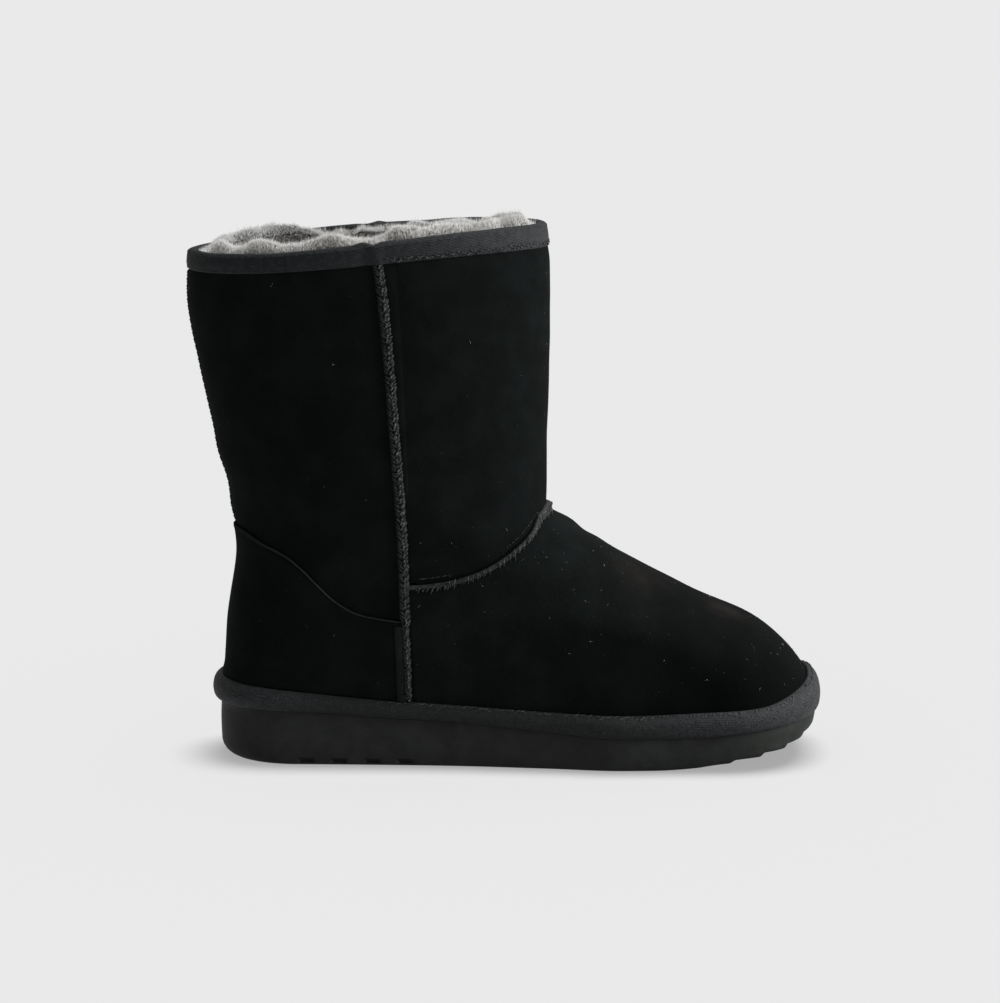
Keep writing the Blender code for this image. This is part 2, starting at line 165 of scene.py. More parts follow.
# Top edge of the heel counter, from the back of the heel to a side seam
COUNTER_EDGE = table(
    "Edge", "turn rise",
    (0.00, 0.945), (0.18, 0.935), (0.30, 0.905), (0.37, 0.875),
    (0.45, 0.845), (0.52, 0.806), (0.59, 0.744), (0.66, 0.658),
    (0.74, 0.560), (0.83, 0.486), (0.91, 0.460), (1.00, 0.440),
)

# Soft troughs across the suede from one place to another: width and depth in millimetres
CREASES = table(
    "Crease", "turn rise to_turn to_rise width depth",
    (1.62, 0.890, 2.38, 0.890, 5.0, 0.7),
    (1.30, 1.060, 1.75, 1.130, 9.0, 0.8),
    (2.25, 1.130, 2.70, 1.060, 9.0, 0.8),
    (0.10, 1.120, 0.62, 0.960, 9.0, 0.8),
    (3.38, 0.960, 3.90, 1.120, 9.0, 0.8),
    (0.52, 1.300, 0.45, 1.850, 16.0, 0.9),
    (3.45, 1.320, 3.52, 1.850, 16.0, 0.9),
    (1.40, 0.300, 1.60, 0.520, 14.0, 0.6),
    (2.60, 0.300, 2.40, 0.520, 14.0, 0.6),
)

# How far the wool stands above the rim, round the collar
FRINGES = table(
    "Fringe", "turn stand",
    (0.00, -3.0), (0.15, -3.0), (0.21, -0.4), (0.25, 4.6), (0.31, 5.6), (0.41, 3.0),
    (0.47, 3.8), (0.54, 6.0), (0.61, 4.8), (0.665, 3.0), (0.71, 3.8), (0.775, 5.2),
    (0.83, 6.2), (0.93, 3.6), (1.00, 2.2), (1.03, 2.6), (1.09, 6.2), (1.19, 4.4),
    (1.27, 5.2), (1.36, 4.4), (1.44, 3.6), (1.54, 4.2), (1.64, 4.5), (1.74, 5.4),
    (1.80, 4.2), (1.85, 1.4), (2.00, -0.5), (2.14, 1.2), (2.24, 3.6), (2.42, 2.4),
    (2.51, 1.0), (2.57, 0.0), (2.64, 1.2), (2.76, 0.6), (2.85, 1.2), (2.90, -0.8),
    (2.99, -1.0), (3.05, -0.2), (3.09, -3.0), (3.135, -1.0), (3.175, -3.0), (3.215, 0.0),
    (3.26, 2.2), (3.38, 6.1), (3.53, 5.9), (3.66, 4.6), (3.76, 3.4), (3.86, -1.6),
    (4.00, -3.0),
)


# ---------------------------------------------------------------- reading the tables

def smooth_line(knots, values, at):
    """Cubic pieces between the knots, with slopes that never overshoot a value."""
    knots = np.asarray(knots, dtype=float)
    values = np.asarray(values, dtype=float)
    at = np.clip(at, knots[0], knots[-1])
    steps = np.diff(knots)
    slopes = np.diff(values) / steps
    agree = slopes[:-1] * slopes[1:] > 0.0
    total = np.where(agree, slopes[:-1] + slopes[1:], 1.0)
    inner = np.where(agree, 2.0 * slopes[:-1] * slopes[1:] / total, 0.0)
    tangents = np.concatenate(([slopes[0]], inner, [slopes[-1]]))
    row = np.clip(np.searchsorted(knots, at, side="right") - 1, 0, len(steps) - 1)
    step = steps[row]
    t = (at - knots[row]) / step
    from_row = (1.0 + 2.0 * t) * (1.0 - t) ** 2 * values[row] + t * (1.0 - t) ** 2 * step * tangents[row]
    to_next = t * t * (3.0 - 2.0 * t) * values[row + 1] + t * t * (t - 1.0) * step * tangents[row + 1]
    return from_row + to_next


def read(rows, by, column, at):
    """Read a column of a table at a value of another column."""
    return smooth_line([getattr(row, by) for row in rows], [getattr(row, column) for row in rows], at)


def station(column, x):
    return read(STATIONS, "along", column, np.asarray(x) / LENGTH)


def section(column, rise):
    return read(SECTIONS, "rise", column, rise)


def ease(t):
    """Go from 0 to 1 with a level start and end: 3 t^2 - 2 t^3."""
    t = np.clip(t, 0.0, 1.0)
    return t * t * (3.0 - 2.0 * t)


def bell(away):
    """Bell curve: exp(-away^2)."""
    return np.exp(-away ** 2)


def unit(vectors):
    """Vectors of length 1 with the same directions."""
    return vectors / np.linalg.norm(vectors, axis=-1, keepdims=True)


# ---------------------------------------------------------------- the last

def tread_height(x):
    start = SPRING_START * LENGTH
    return TOE_SPRING * np.clip((np.asarray(x) - start) / (LENGTH - start), 0.0, 1.1) ** SPRING_POWER


def ledge_height(x):
    return HEEL_HEIGHT * station("ledge", x)


def feather_height(x):
    return HEEL_HEIGHT * station("feather", x)


def axis_side(x):
    start = SWING_START * LENGTH
    return TOE_SWING * np.clip((x - start) / (LENGTH - start), 0.0, 1.1) ** 2


def half_width(x, rise, inner_side):
    """Side wall times a quarter of a rounded square at each end: (1 - (1 - t)^n)^(1 / n)."""
    heel = section("heel", rise) * LENGTH
    toe = section("toe", rise) * LENGTH
    plan = np.where(inner_side, station("inner", x), station("outer", x)) * BALL_WIDTH
    foot = section("foot", rise)
    side = foot * plan + (1.0 - foot) * section("girth", rise) * SHAFT_WIDTH
    from_heel = np.clip((x - heel) / (section("heel_round", rise) * LENGTH), 0.0, 1.0)
    from_toe = np.clip((toe - x) / (section("toe_round", rise) * LENGTH), 0.0, 1.0)
    power = 2.0 + BLUNTNESS * foot
    closing = (1.0 - (1.0 - from_heel) ** power) * (1.0 - (1.0 - from_toe) ** power)
    return side * closing ** (1.0 / power)


def rim_tilt(x, y):
    climb = ease((x - RIM_BACK) / (RIM_FRONT - RIM_BACK)) * (RIM_FALL + RIM_CLIMB) - RIM_FALL
    lean = ease((x - LEAN_BACK) / (LEAN_FRONT - LEAN_BACK)) * RIM_LEAN
    return climb - lean * (0.5 + y / SHAFT_WIDTH)


def height(x, y, rise):
    """Even steps of height, bent to the feather line below and to the rim above."""
    foot = FEATHER_HEIGHT + np.clip(rise, 0.0, 1.0) * (INSTEP_HEIGHT - FEATHER_HEIGHT)
    leg = np.clip(rise - 1.0, 0.0, 1.0) * (SHAFT_HEIGHT - INSTEP_HEIGHT)
    to_feather = np.clip(1.0 - rise / FEATHER_FADE_END, 0.0, 1.0) ** 2
    to_rim = ease((rise - RIM_FADE_START) / (2.0 - RIM_FADE_START))
    level = foot + leg + to_feather * (feather_height(x) - FEATHER_HEIGHT) + to_rim * rim_tilt(x, y)
    down_to_ledge = np.clip(-rise, 0.0, 1.0) * (feather_height(x) - ledge_height(x) - GAP)
    return level - down_to_ledge


def last_point(turn, rise):
    """Outside of the upper: x runs as a cosine of the turn, y is the half width there."""
    turn, rise = np.broadcast_arrays(np.asarray(turn, dtype=float) % 4.0, np.asarray(rise, dtype=float))
    inner_side = turn > 2.0
    quarter = np.where(inner_side, 4.0 - turn, turn)
    level = np.clip(rise, 0.0, 2.0)
    heel = section("heel", level) * LENGTH
    seam = section("seam", level) * LENGTH
    toe = section("toe", level) * LENGTH
    behind = heel + (seam - heel) * (1.0 - np.cos(np.clip(quarter, 0.0, 1.0) * math.pi / 2.0))
    ahead = toe - (toe - seam) * (1.0 - np.cos(np.clip(2.0 - quarter, 0.0, 1.0) * math.pi / 2.0))
    x = np.where(quarter <= 1.0, behind, ahead)
    side = np.where(inner_side, 1.0, -1.0)
    y = axis_side(x) + side * half_width(x, level, inner_side)
    return np.stack((x, y, height(x, y, rise)), axis=-1)


def outward(turn, rise):
    """Unit normal: the cross product of the steps round the boot and up it."""
    step = 0.01
    turn, rise = np.broadcast_arrays(np.asarray(turn, dtype=float), np.asarray(rise, dtype=float))
    round_the_boot = last_point(turn + step, rise) - last_point(turn - step, rise)
    up = last_point(turn, np.minimum(rise + step, 2.0)) - last_point(turn, np.maximum(rise - step, -1.0))
    normal = np.cross(round_the_boot, up)
    normal[..., 2] = np.where((rise <= 0.0) | (rise >= 2.0), 0.0, normal[..., 2])
    return unit(normal)


def off_last(turn, rise, distance):
    """Point at a distance outside the upper, or inside it when the distance is negative."""
    turn, rise, distance = np.broadcast_arrays(turn, rise, distance)
    return last_point(turn, rise) + outward(turn, rise) * distance[..., None]


def noise(points, size, seed):
    """Smooth heights from -1 to 1: random values on a cubic lattice, eased from cell to cell."""
    cells = 32
    values = np.random.default_rng(seed).uniform(-1.0, 1.0, (cells, cells, cells))
    scaled = points / size
    corner = np.floor(scaled).astype(int)
    t = ease(scaled - corner)
    total = np.zeros(points.shape[:-1])
    for dx in (0, 1):
        for dy in (0, 1):
            for dz in (0, 1):
                i, j, k = np.moveaxis((corner + (dx, dy, dz)) % cells, -1, 0)
                share = np.abs(1 - dx - t[..., 0]) * np.abs(1 - dy - t[..., 1]) * np.abs(1 - dz - t[..., 2])
                total += share * values[i, j, k]
    return total


def creased(turn, rise):
    """Outside of the worn suede: the last with soft troughs and slow waves.

    A trough is a bell curve of the distance to its line, with a faint ridge at each side.
    """
    turn, rise = np.broadcast_arrays(np.asarray(turn, dtype=float) % 4.0, np.asarray(rise, dtype=float))
    places = last_point(turn, rise)
    depth = -0.45 * noise(places, 34.0, 3) - 0.16 * noise(places, 11.0, 4)
    for crease in CREASES:
        ends = last_point(np.array((crease.turn, crease.to_turn)), np.array((crease.rise, crease.to_rise)))
        run = ends[1] - ends[0]
        share = np.clip(((places - ends[0]) @ run) / (run @ run), 0.0, 1.0)
        line = last_point(
            crease.turn + share * (crease.to_turn - crease.turn),
            crease.rise + share * (crease.to_rise - crease.rise),
        )
        away = np.linalg.norm(places - line, axis=-1) / crease.width
        depth += crease.depth * (bell(away) - 0.4 * bell((away - 1.7) / 0.8))
    return places - outward(turn, rise) * (depth * ease(rise / 0.12) * ease((2.0 - rise) / 0.1))[..., None]


def off_suede(turn, rise, distance):
    """Point at a distance outside the worn suede."""
    turn, rise, distance = np.broadcast_arrays(turn, rise, distance)
    return creased(turn, rise) + outward(turn, rise) * distance[..., None]


def feather_x(turns):
    """How far along the boot the feather line is at each turn."""
    return last_point(turns, 0.0)[..., 0]


def level_ring(turns, out, level):
    """Ring at a distance off the feather line, set at a height or at one for each turn."""
    ring = off_last(turns, 0.0, out)
    ring[..., 2] = level
    return ring


def to_frame():
    """Where the heel point of the last lies in the frame, from the rand's box."""
    low, high = np.asarray(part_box("rand")) / MILLIMETRE
    ring = level_ring(np.linspace(0.0, 4.0, 800), RAND_BULGE, 0.0)
    side = (low[1] + high[1]) / 2.0 - (ring[:, 1].min() + ring[:, 1].max()) / 2.0
    return np.array((high[0] - LENGTH - RAND_BULGE, side, 0.0))


HEEL_POINT = to_frame()


# ---------------------------------------------------------------- making meshes

def grid_quads(rows, columns, wrap=False, wrap_rows=False):
    """Corners of a grid's quads, point by point along its rows, and their unwrapped columns and rows."""
    row, column = np.meshgrid(
        np.arange(rows if wrap_rows else rows - 1),
        np.arange(columns if wrap else columns - 1),
        indexing="ij",
    )
    corner_rows = np.stack((row, row, row + 1, row + 1), axis=-1).reshape(-1, 4)
    corner_columns = np.stack((column, column + 1, column + 1, column), axis=-1).reshape(-1, 4)
    quads = (corner_rows % rows) * columns + corner_columns % columns
    return quads, corner_rows, corner_columns


def end_caps(count, width):
    """Triangles that close a sweep: from its two end rings to the two points after its last ring."""
    ring = np.arange(width)
    following = (ring + 1) % width
    first = np.stack((following, ring, np.full(width, count * width)), axis=-1)
    last = np.stack((ring, following, np.full(width, count * width + 1)), axis=-1)
    last[:, :2] += (count - 1) * width
    return np.concatenate((first, last))


def enclosed_volume(points, faces):
    total = 0.0
    for group in faces:
        for i in range(1, group.shape[1] - 1):
            a, b, c = points[group[:, 0]], points[group[:, i]], points[group[:, i + 1]]
            total += np.einsum("ij,ij->", a, np.cross(b, c))
    return total / 6.0


def new_piece(name, points, faces, finish, weave=None, tone=None):
    """Make a closed piece that rides with the boot.

    faces is a list of arrays of corners. weave gives each corner a place on the cloth, in
    millimetres along and across it. tone gives each point a value for its material.
    """
    points = np.asarray(points, dtype=float).reshape(-1, 3) + HEEL_POINT
    if enclosed_volume(points - points.mean(axis=0), faces) < 0.0:
        faces = [group[:, ::-1] for group in faces]
        weave = None if weave is None else [group[:, ::-1] for group in weave]
    corners = np.concatenate([group.ravel() for group in faces])
    sizes = np.concatenate([np.full(len(group), group.shape[1]) for group in faces])
    mesh = bpy.data.meshes.new(name)
    mesh.vertices.add(len(points))
    mesh.vertices.foreach_set("co", (points * MILLIMETRE).ravel())
    mesh.loops.add(len(corners))
    mesh.loops.foreach_set("vertex_index", corners)
    mesh.polygons.add(len(sizes))
    mesh.polygons.foreach_set("loop_start", np.concatenate(([0], np.cumsum(sizes)[:-1])))
    mesh.update(calc_edges=True)
    mesh.validate()
    mesh.shade_smooth()
    if weave is not None:
        cloth = mesh.uv_layers.new(name="weave")
        cloth.data.foreach_set("uv", np.concatenate([group.reshape(-1) for group in weave]))
    if tone is not None:
        shade = mesh.attributes.new("tone", "FLOAT", "POINT")
        shade.data.foreach_set("value", np.asarray(tone, dtype=float).ravel())
    mesh.materials.append(finish)
    piece = bpy.data.objects.new(name, mesh)
    bpy.context.scene.collection.objects.link(piece)
    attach(piece, "root")
    return piece


def lengths_along(grid, axis):
    """Distance along a grid from its first point, measured over the points."""
    steps = np.linalg.norm(np.diff(grid, axis=axis), axis=-1)
    start = np.zeros_like(np.take(steps, [0], axis=axis))
    return np.concatenate((start, np.cumsum(steps, axis=axis)), axis=axis)


def rolled(distance):
    """Drop of a rolled edge: a quarter circle over EDGE_ROLL, as deep as the suede is thick."""
    t = np.clip(1.0 - distance / EDGE_ROLL, 0.0, 1.0)
    return SUEDE_THICKNESS * (1.0 - np.sqrt(1.0 - t ** 2))


def strip(fine, coarse, step):
    """Triangles between a row of fine points and a row with only every step-th of them."""
    faces = []
    j = np.arange(len(coarse) - 1)
    middle = step // 2
    for k in range(step):
        near = coarse[j] if k < middle else coarse[j + 1]
        faces.append(np.stack((fine[step * j + k], fine[step * j + k + 1], near), axis=-1))
    faces.append(np.stack((fine[step * j + middle], coarse[j + 1], coarse[j]), axis=-1))
    return np.concatenate(faces)


def panel(name, turns, rises, offset, finish, slot, edges):
    """A cut piece of suede: a fine outer face with rolled edges and a plain inner face.

    turns and rises are grids of places. edges names the sides that roll under: left and right
    are the first and last turns, bottom and top the first and last rises.
    """
    step = 4
    outer = off_suede(turns, rises, offset)
    along, up = lengths_along(outer, 1), lengths_along(outer, 0)
    distances = {"l": along, "r": along[:, -1:] - along, "b": up, "t": up[-1:] - up}
    drop = sum(rolled(distances[edge]) for edge in edges)
    outer = off_suede(turns, rises, offset - drop)
    inner = off_suede(turns[::step, ::step], rises[::step, ::step], offset - 1.1 * SUEDE_THICKNESS - 0.3)
    rows, columns = turns.shape
    inner_rows, inner_columns = inner.shape[:2]
    fine = np.arange(rows * columns).reshape(rows, columns)
    coarse = rows * columns + np.arange(inner_rows * inner_columns).reshape(inner_rows, inner_columns)
    back_face = grid_quads(inner_rows, inner_columns)[0][:, ::-1] + rows * columns
    borders = (
        strip(fine[0][::-1], coarse[0][::-1], step), strip(fine[-1], coarse[-1], step),
        strip(fine[:, 0], coarse[:, 0], step), strip(fine[::-1, -1], coarse[::-1, -1], step),
    )
    points = np.concatenate((outer.reshape(-1, 3), inner.reshape(-1, 3)))
    faces = [grid_quads(rows, columns)[0], back_face, np.concatenate(borders)]
    return new_piece(name, points, faces, finish)


def ring_piece(name, loops, finish):
    """A band all round the boot: closed loops of points, the last joined to the first."""
    loops = np.asarray(loops)
    count, width = loops.shape[:2]
    quads, corner_rows, corner_columns = grid_quads(count, width, wrap=True, wrap_rows=True)
    across = lengths_along(np.concatenate((loops, loops[:1])), 0).mean(axis=1)
    around = lengths_along(np.concatenate((loops, loops[:, :1]), axis=1), 1).mean(axis=0)
    weave = np.stack((around[corner_columns], across[corner_rows]), axis=-1)
    return new_piece(name, loops, [quads], finish, weave=[weave])


def tubes(name, paths, radius, finish, sides=5):
    """Round threads along many paths of equal length, with closed and slightly narrowed ends.

    Each ring is a circle across the path's direction there. radius may be one for each thread.
    """
    paths = np.asarray(paths, dtype=float)
    count, steps = paths.shape[:2]
    along = unit(np.gradient(paths, axis=1))
    across = unit(np.cross(along, (0.31, 0.17, 0.93)))
    over = np.cross(across, along)
    angles = np.arange(sides) * 2.0 * math.pi / sides
    taper = np.ones(steps)
    taper[[0, -1]] = 0.6
    reach = np.broadcast_to(radius, count)[:, None, None, None] * taper[:, None, None]
    circle = np.cos(angles)[:, None] * across[:, :, None] + np.sin(angles)[:, None] * over[:, :, None]
    rings = paths[:, :, None] + reach * circle
    ends = np.stack((paths[:, 0], paths[:, -1]), axis=1)
    points = np.concatenate((rings.reshape(count, -1, 3), ends), axis=1)
    faces = [
        copies(grid_quads(steps, sides, wrap=True)[0], count, points.shape[1]),
        copies(end_caps(steps, sides), count, points.shape[1]),
    ]
    return new_piece(name, points, faces, finish)


def copies(faces, count, size):
    """Corners of a small mesh's faces, repeated for count meshes of size points each."""
    return (faces[None] + (np.arange(count) * size)[:, None, None]).reshape(-1, faces.shape[1])


def triangle(middle, width, side, third):
    """Three points round a middle, across a fibre."""
    return [
        middle + width / 2.0 * (math.cos(angle) * side + math.sin(angle) * third)
        for angle in (0.0, 2.0 * math.pi / 3.0, 4.0 * math.pi / 3.0)
    ]


def fibres(name, roots, middles, tips, width, finish, tone):
    """Fine bent fibres: each widens from its root to a triangle at its middle and ends in a tip.

    tone is each fibre's shade at its tip; it darkens towards the root.
    """
    count = len(roots)
    side = unit(np.cross(tips - roots, np.random.default_rng(17).normal(size=(count, 3))))
    third = unit(np.cross(tips - roots, side))
    points = np.stack([roots] + triangle(middles, width[:, None], side, third) + [tips], axis=1)
    below = np.array([(0, 1 + (i + 1) % 3, 1 + i) for i in range(3)])
    above = np.array([(4, 1 + i, 1 + (i + 1) % 3) for i in range(3)])
    faces = [copies(np.concatenate((below, above)), count, 5)]
    along = np.array((0.0, 0.6, 0.6, 0.6, 1.0))
    shades = tone[:, None] * (0.75 + 0.25 * along)
    return new_piece(name, points, faces, finish, tone=shades)


def sweep_piece(name, loops, finish):
    """A suede profile carried along a path: closed loops, one after the other, with capped ends."""
    loops = np.asarray(loops)
    count, width = loops.shape[:2]
    quads, corner_rows, corner_columns = grid_quads(count, width, wrap=True)
    across = lengths_along(np.concatenate((loops, loops[:, :1]), axis=1), 1).mean(axis=0)
    along = lengths_along(loops, 0).mean(axis=1)
    caps = end_caps(count, width)
    points = np.concatenate((loops.reshape(-1, 3), loops[[0, -1]].mean(axis=1)))
    weave = [
        np.stack((along[corner_rows], across[corner_columns]), axis=-1),
        np.zeros((len(caps), 3, 2)),
    ]
    return new_piece(name, points, [quads, caps], finish, weave=weave)


def moved(turn, rise, ahead=0.0, up=0.0):
    """Place reached by going some millimetres ahead round the boot and up it."""
    step = 0.004
    turn, rise, ahead, up = np.broadcast_arrays(turn, rise, ahead, up)
    here = last_point(turn, rise)
    side = np.where(ahead < 0.0, -step, step)
    lift = np.where((up < 0.0) | (rise > 1.9), -step, step)
    per_turn = np.linalg.norm(last_point(turn + side, rise) - here, axis=-1) / step
    per_rise = np.linalg.norm(last_point(turn, rise + lift) - here, axis=-1) / step
    return turn + ahead / per_turn, rise + up / per_rise


def beside(turn, rise, out, ahead=0.0, up=0.0):
    """Point off the suede, reached by going ahead and up from a place."""
    return off_suede(*moved(turn, rise, ahead=ahead, up=up), out)


def seam_samples(turns, rises, distances):
    """Turn and rise at distances along a line on the suede, which is given as close points."""
    line = lengths_along(last_point(turns, rises), 0)
    return np.interp(distances, line, turns), np.interp(distances, line, rises)


def seam_length(turns, rises):
    return lengths_along(last_point(turns, rises), 0)[-1]


def stitches(name, turns, rises, pitch, length, out, radius, finish, slant=0.0, climb=0.0):
    """A row of stitches along a line: each is an arch, 4 t (1 - t), from hole to hole.

    slant carries a stitch ahead round the boot and climb carries it up, besides its own length.
    out is its height off the suede, or a height for each of its five points.
    """
    random = np.random.default_rng(int(1000 * pitch) + len(name))
    count = int(seam_length(turns, rises) / pitch) - 1
    stray = random.normal(scale=STRAY, size=(3, count, 1))
    t = np.linspace(0.0, 1.0, 5)
    starts = (np.arange(count)[:, None] + 0.5 + stray[0]) * pitch + length * (1.0 + stray[1]) * t
    turn, rise = seam_samples(turns, rises, starts)
    share = np.broadcast_to(t, turn.shape)
    reach = (share - 0.5) * (1.0 + 2.0 * stray[2])
    turn, rise = moved(turn, rise, ahead=slant * reach, up=climb * reach)
    arch = out - 0.6 * radius + 1.6 * radius * 4.0 * share * (1.0 - share)
    tubes(name, off_suede(turn, rise, arch), radius * (1.0 + stray[0, :, 0]), finish)


# ---------------------------------------------------------------- finishes

def feed(node, sockets):
    """Set a node's inputs: an output is linked to the input, anything else is its plain value."""
    for name, value in sockets.items():
        if isinstance(value, bpy.types.NodeSocket):
            node.id_data.links.new(value, node.inputs[name])
        else:
            node.inputs[name].default_value = value
    return node


def new_node(tree, kind, sockets, **settings):
    """Outputs of a new shader node with these inputs and settings."""
    node = tree.nodes.new("ShaderNode" + kind)
    for setting, value in settings.items():
        setattr(node, setting, value)
    return feed(node, sockets).outputs


def calc(tree, operation, *values):
    return new_node(tree, "Math", dict(enumerate(values)), operation=operation)[0]


def weighted(tree, *terms):
    """Sum of values, each times its weight."""
    products = [calc(tree, "MULTIPLY", value, weight) for value, weight in terms]
    total = products[0]
    for product in products[1:]:
        total = calc(tree, "ADD", total, product)
    return total


def raw_grain(tree, place, scale, detail, rough=0.5):
    """Noise from 0 to 1 on places in any unit, with about scale features in each."""
    return new_node(
        tree, "TexNoise", {"Vector": place, "Scale": scale, "Detail": detail, "Roughness": rough},
    )["Fac"]


def grain(tree, place, size, detail=2.0, rough=0.5):
    """Noise from 0 to 1 with features of a size in millimetres, on places in metres."""
    return raw_grain(tree, place, 1.0 / (size * MILLIMETRE), detail, rough)


def between(tree, value, low, high):
    """Stretch low to high over 0 to 1, with soft ends."""
    ends = {"Value": value, "From Min": low, "From Max": high}
    return new_node(tree, "MapRange", ends, interpolation_type="SMOOTHSTEP")["Result"]


def blend(tree, share, first, second):
    """Mix two colours."""
    first, second = (
        colour if isinstance(colour, bpy.types.NodeSocket) else (*colour, 1.0) for colour in (first, second)
    )
    return new_node(tree, "Mix", {0: share, 6: first, 7: second}, data_type="RGBA")[2]


def axes(tree, place):
    """X, Y and Z of a place."""
    return new_node(tree, "SeparateXYZ", {"Vector": place})


def grey(level, warmth=0.0):
    """Colour of a grey level, a little warm or, below zero, a little cool."""
    return level * (1.0 + warmth), level, level * (1.0 - warmth)


def dyed_black(level):
    """Near-black of dyed suede: its red is a fifth lower than its green."""
    return 0.80 * level, level, 0.97 * level


def relief(tree, height, depth):
    """Bumps up to a depth in millimetres."""
    bumps = {"Height": height, "Distance": depth * MILLIMETRE, "Strength": 1.0}
    return new_node(tree, "Bump", bumps)["Normal"]


def effect(name, inputs, outputs):
    """Start a shader node group: names of float inputs, Place excepted, and of float outputs."""
    group = bpy.data.node_groups.new(name, "ShaderNodeTree")
    for socket in inputs:
        kind = "NodeSocketVector" if socket == "Place" else "NodeSocketFloat"
        group.interface.new_socket(socket, in_out="INPUT", socket_type=kind)
    for socket in outputs:
        group.interface.new_socket(socket, in_out="OUTPUT", socket_type="NodeSocketFloat")
    return group, group.nodes.new("NodeGroupInput").outputs, group.nodes.new("NodeGroupOutput")


def nap_effect():
    """Brushed suede: short fibres as two grains of noise, and slow patches where it lies over."""
    group, given, result = effect("suede_nap", ("Place", "Patch"), ("Height", "Shade"))
    fine = grain(group, given["Place"], 0.45, detail=3.0, rough=0.7)
    coarse = grain(group, given["Place"], 1.6)
    patch = between(group, grain(group, given["Place"], 17.0, detail=4.0, rough=0.6), 0.35, 0.68)
    pile = weighted(group, (fine, 0.6), (coarse, 0.4))
    feed(result, {"Height": pile, "Shade": weighted(group, (patch, given["Patch"]), (pile, 0.5))})
    return group


def lint_effect():
    """Specks of lint: the few highest peaks of a fine noise."""
    group, given, result = effect("lint_specks", ("Place", "Threshold"), ("Mask",))
    peaks = grain(group, given["Place"], 0.8, detail=1.0)
    top = calc(group, "ADD", given["Threshold"], 0.05)
    feed(result, {"Mask": between(group, peaks, given["Threshold"], top)})
    return group


def twill_effect():
    """Twill on a cloth map in millimetres: ribs, sin of the way across them, yarns and fuzz.

    Slant is how far a rib falls for each step along the tape.
    """
    group, given, result = effect("twill", ("Place", "Pitch", "Slant", "Fuzz"), ("Height", "Shade"))
    along, down = axes(group, given["Place"])[:2]
    turn_per_mm = calc(group, "DIVIDE", 2.0 * math.pi, given["Pitch"])
    drift = raw_grain(group, given["Place"], 0.25, 2.0)
    across = weighted(group, (along, given["Slant"]), (down, 1.0), (drift, 1.6))
    rib = calc(group, "SINE", calc(group, "MULTIPLY", across, turn_per_mm))
    yarn = calc(group, "SINE", calc(group, "MULTIPLY", along, turn_per_mm))
    specks = calc(group, "SUBTRACT", raw_grain(group, given["Place"], 1.15, 3.0, rough=0.7), 0.5)
    height = weighted(group, (rib, 0.22), (yarn, 0.05), (specks, given["Fuzz"]))
    height = calc(group, "ADD", height, 0.5)
    worn = between(group, raw_grain(group, given["Place"], 0.35, 4.0), 0.3, 0.7)
    feed(result, {"Height": height, "Shade": weighted(group, (height, 0.7), (worn, 0.3))})
    return group


def place_effect(tree, group, sockets):
    return new_node(tree, "Group", sockets, node_tree=group)


def new_finish(name):
    """An empty material: its nodes, its shader and the place on the boot in metres."""
    made = bpy.data.materials.new(name)
    made.use_nodes = True
    tree = made.node_tree
    return made, tree, tree.nodes["Principled BSDF"], new_node(tree, "TexCoord", {})["Object"]


def suede_finish(name, dark, light, lint, brown_patches=(), darker=None):
    """Black suede. brown_patches lists lighter brown patches: their middle in metres and their radius.

    darker is where along the boot painted shade starts towards the toe, and where it is darkest.
    """
    made, tree, shader, place = new_finish(name)
    nap = place_effect(tree, NAP, {"Place": place, "Patch": 0.55})
    specks = place_effect(tree, LINT, {"Place": place, "Threshold": lint})
    cloth = blend(tree, nap["Shade"], dyed_black(dark), dyed_black(light))
    # Painted shade: towards the toe the nap darkens to a third, against the softbox's light there.
    if darker:
        low = blend(tree, nap["Shade"], dyed_black(0.32 * dark), dyed_black(0.32 * light))
        cloth = blend(tree, between(tree, axes(tree, place)["X"], *darker), cloth, low)
    # Lighter brown patches, strongest where the nap is lightest.
    for middle, radius in brown_patches:
        away = new_node(tree, "VectorMath", {0: place, 1: middle}, operation="DISTANCE")["Value"]
        near = between(tree, away, radius, 0.2 * radius)
        cloth = blend(tree, calc(tree, "MULTIPLY", near, nap["Shade"]), cloth, PATCH_BROWN)
    feed(shader, {
        "Base Color": blend(tree, specks["Mask"], cloth, grey(0.10, 0.03)),
        "Roughness": 1.0,
        "Specular IOR Level": 0.03,
        "Sheen Weight": 0.01,
        "Sheen Roughness": 0.5,
        "Normal": relief(tree, nap["Height"], 0.35),
    })
    return made


def twill_finish(name, dark, light, pitch, slant, fuzz, shine, dust_and_light=1.0, lit_stretches=()):
    """Dark twill. lit_stretches lists stretches along the boot over which it grows dust_and_light times as
    light: painted light where the lamps fall on the tape.
    """
    made, tree, shader, place = new_finish(name)
    weave = place_effect(tree, TWILL, {
        "Place": new_node(tree, "UVMap", {}, uv_map="weave")["UV"],
        "Pitch": pitch,
        "Slant": slant,
        "Fuzz": fuzz,
    })
    specks = place_effect(tree, LINT, {"Place": place, "Threshold": 0.8})
    cloth = blend(tree, weave["Shade"], grey(dark, -0.10), grey(light, -0.07))
    # Painted light: the same twill made lighter over the lit stretches.
    lit_cloth = blend(tree, weave["Shade"], grey(dust_and_light * dark, -0.10), grey(dust_and_light * light, -0.07))
    for stretch in lit_stretches:
        cloth = blend(tree, between(tree, axes(tree, place)["X"], *stretch), cloth, lit_cloth)
    feed(shader, {
        "Base Color": blend(tree, specks["Mask"], cloth, grey(0.16)),
        "Roughness": 0.7,
        "Specular IOR Level": shine,
        "Sheen Weight": 0.02,
        "Sheen Roughness": 0.4,
        "Normal": relief(tree, weave["Height"], 0.15),
    })
    return made


def thread_finish(name, dark, light):
    made, tree, shader, place = new_finish(name)
    strand = grain(tree, place, 1.1, detail=3.0)
    feed(shader, {
        "Base Color": blend(tree, between(tree, strand, 0.36, 0.64), grey(dark, -0.03), grey(light, -0.03)),
        "Roughness": 0.6,
        "Specular IOR Level": 0.35,
        "Normal": relief(tree, strand, 0.15),
    })
    return made


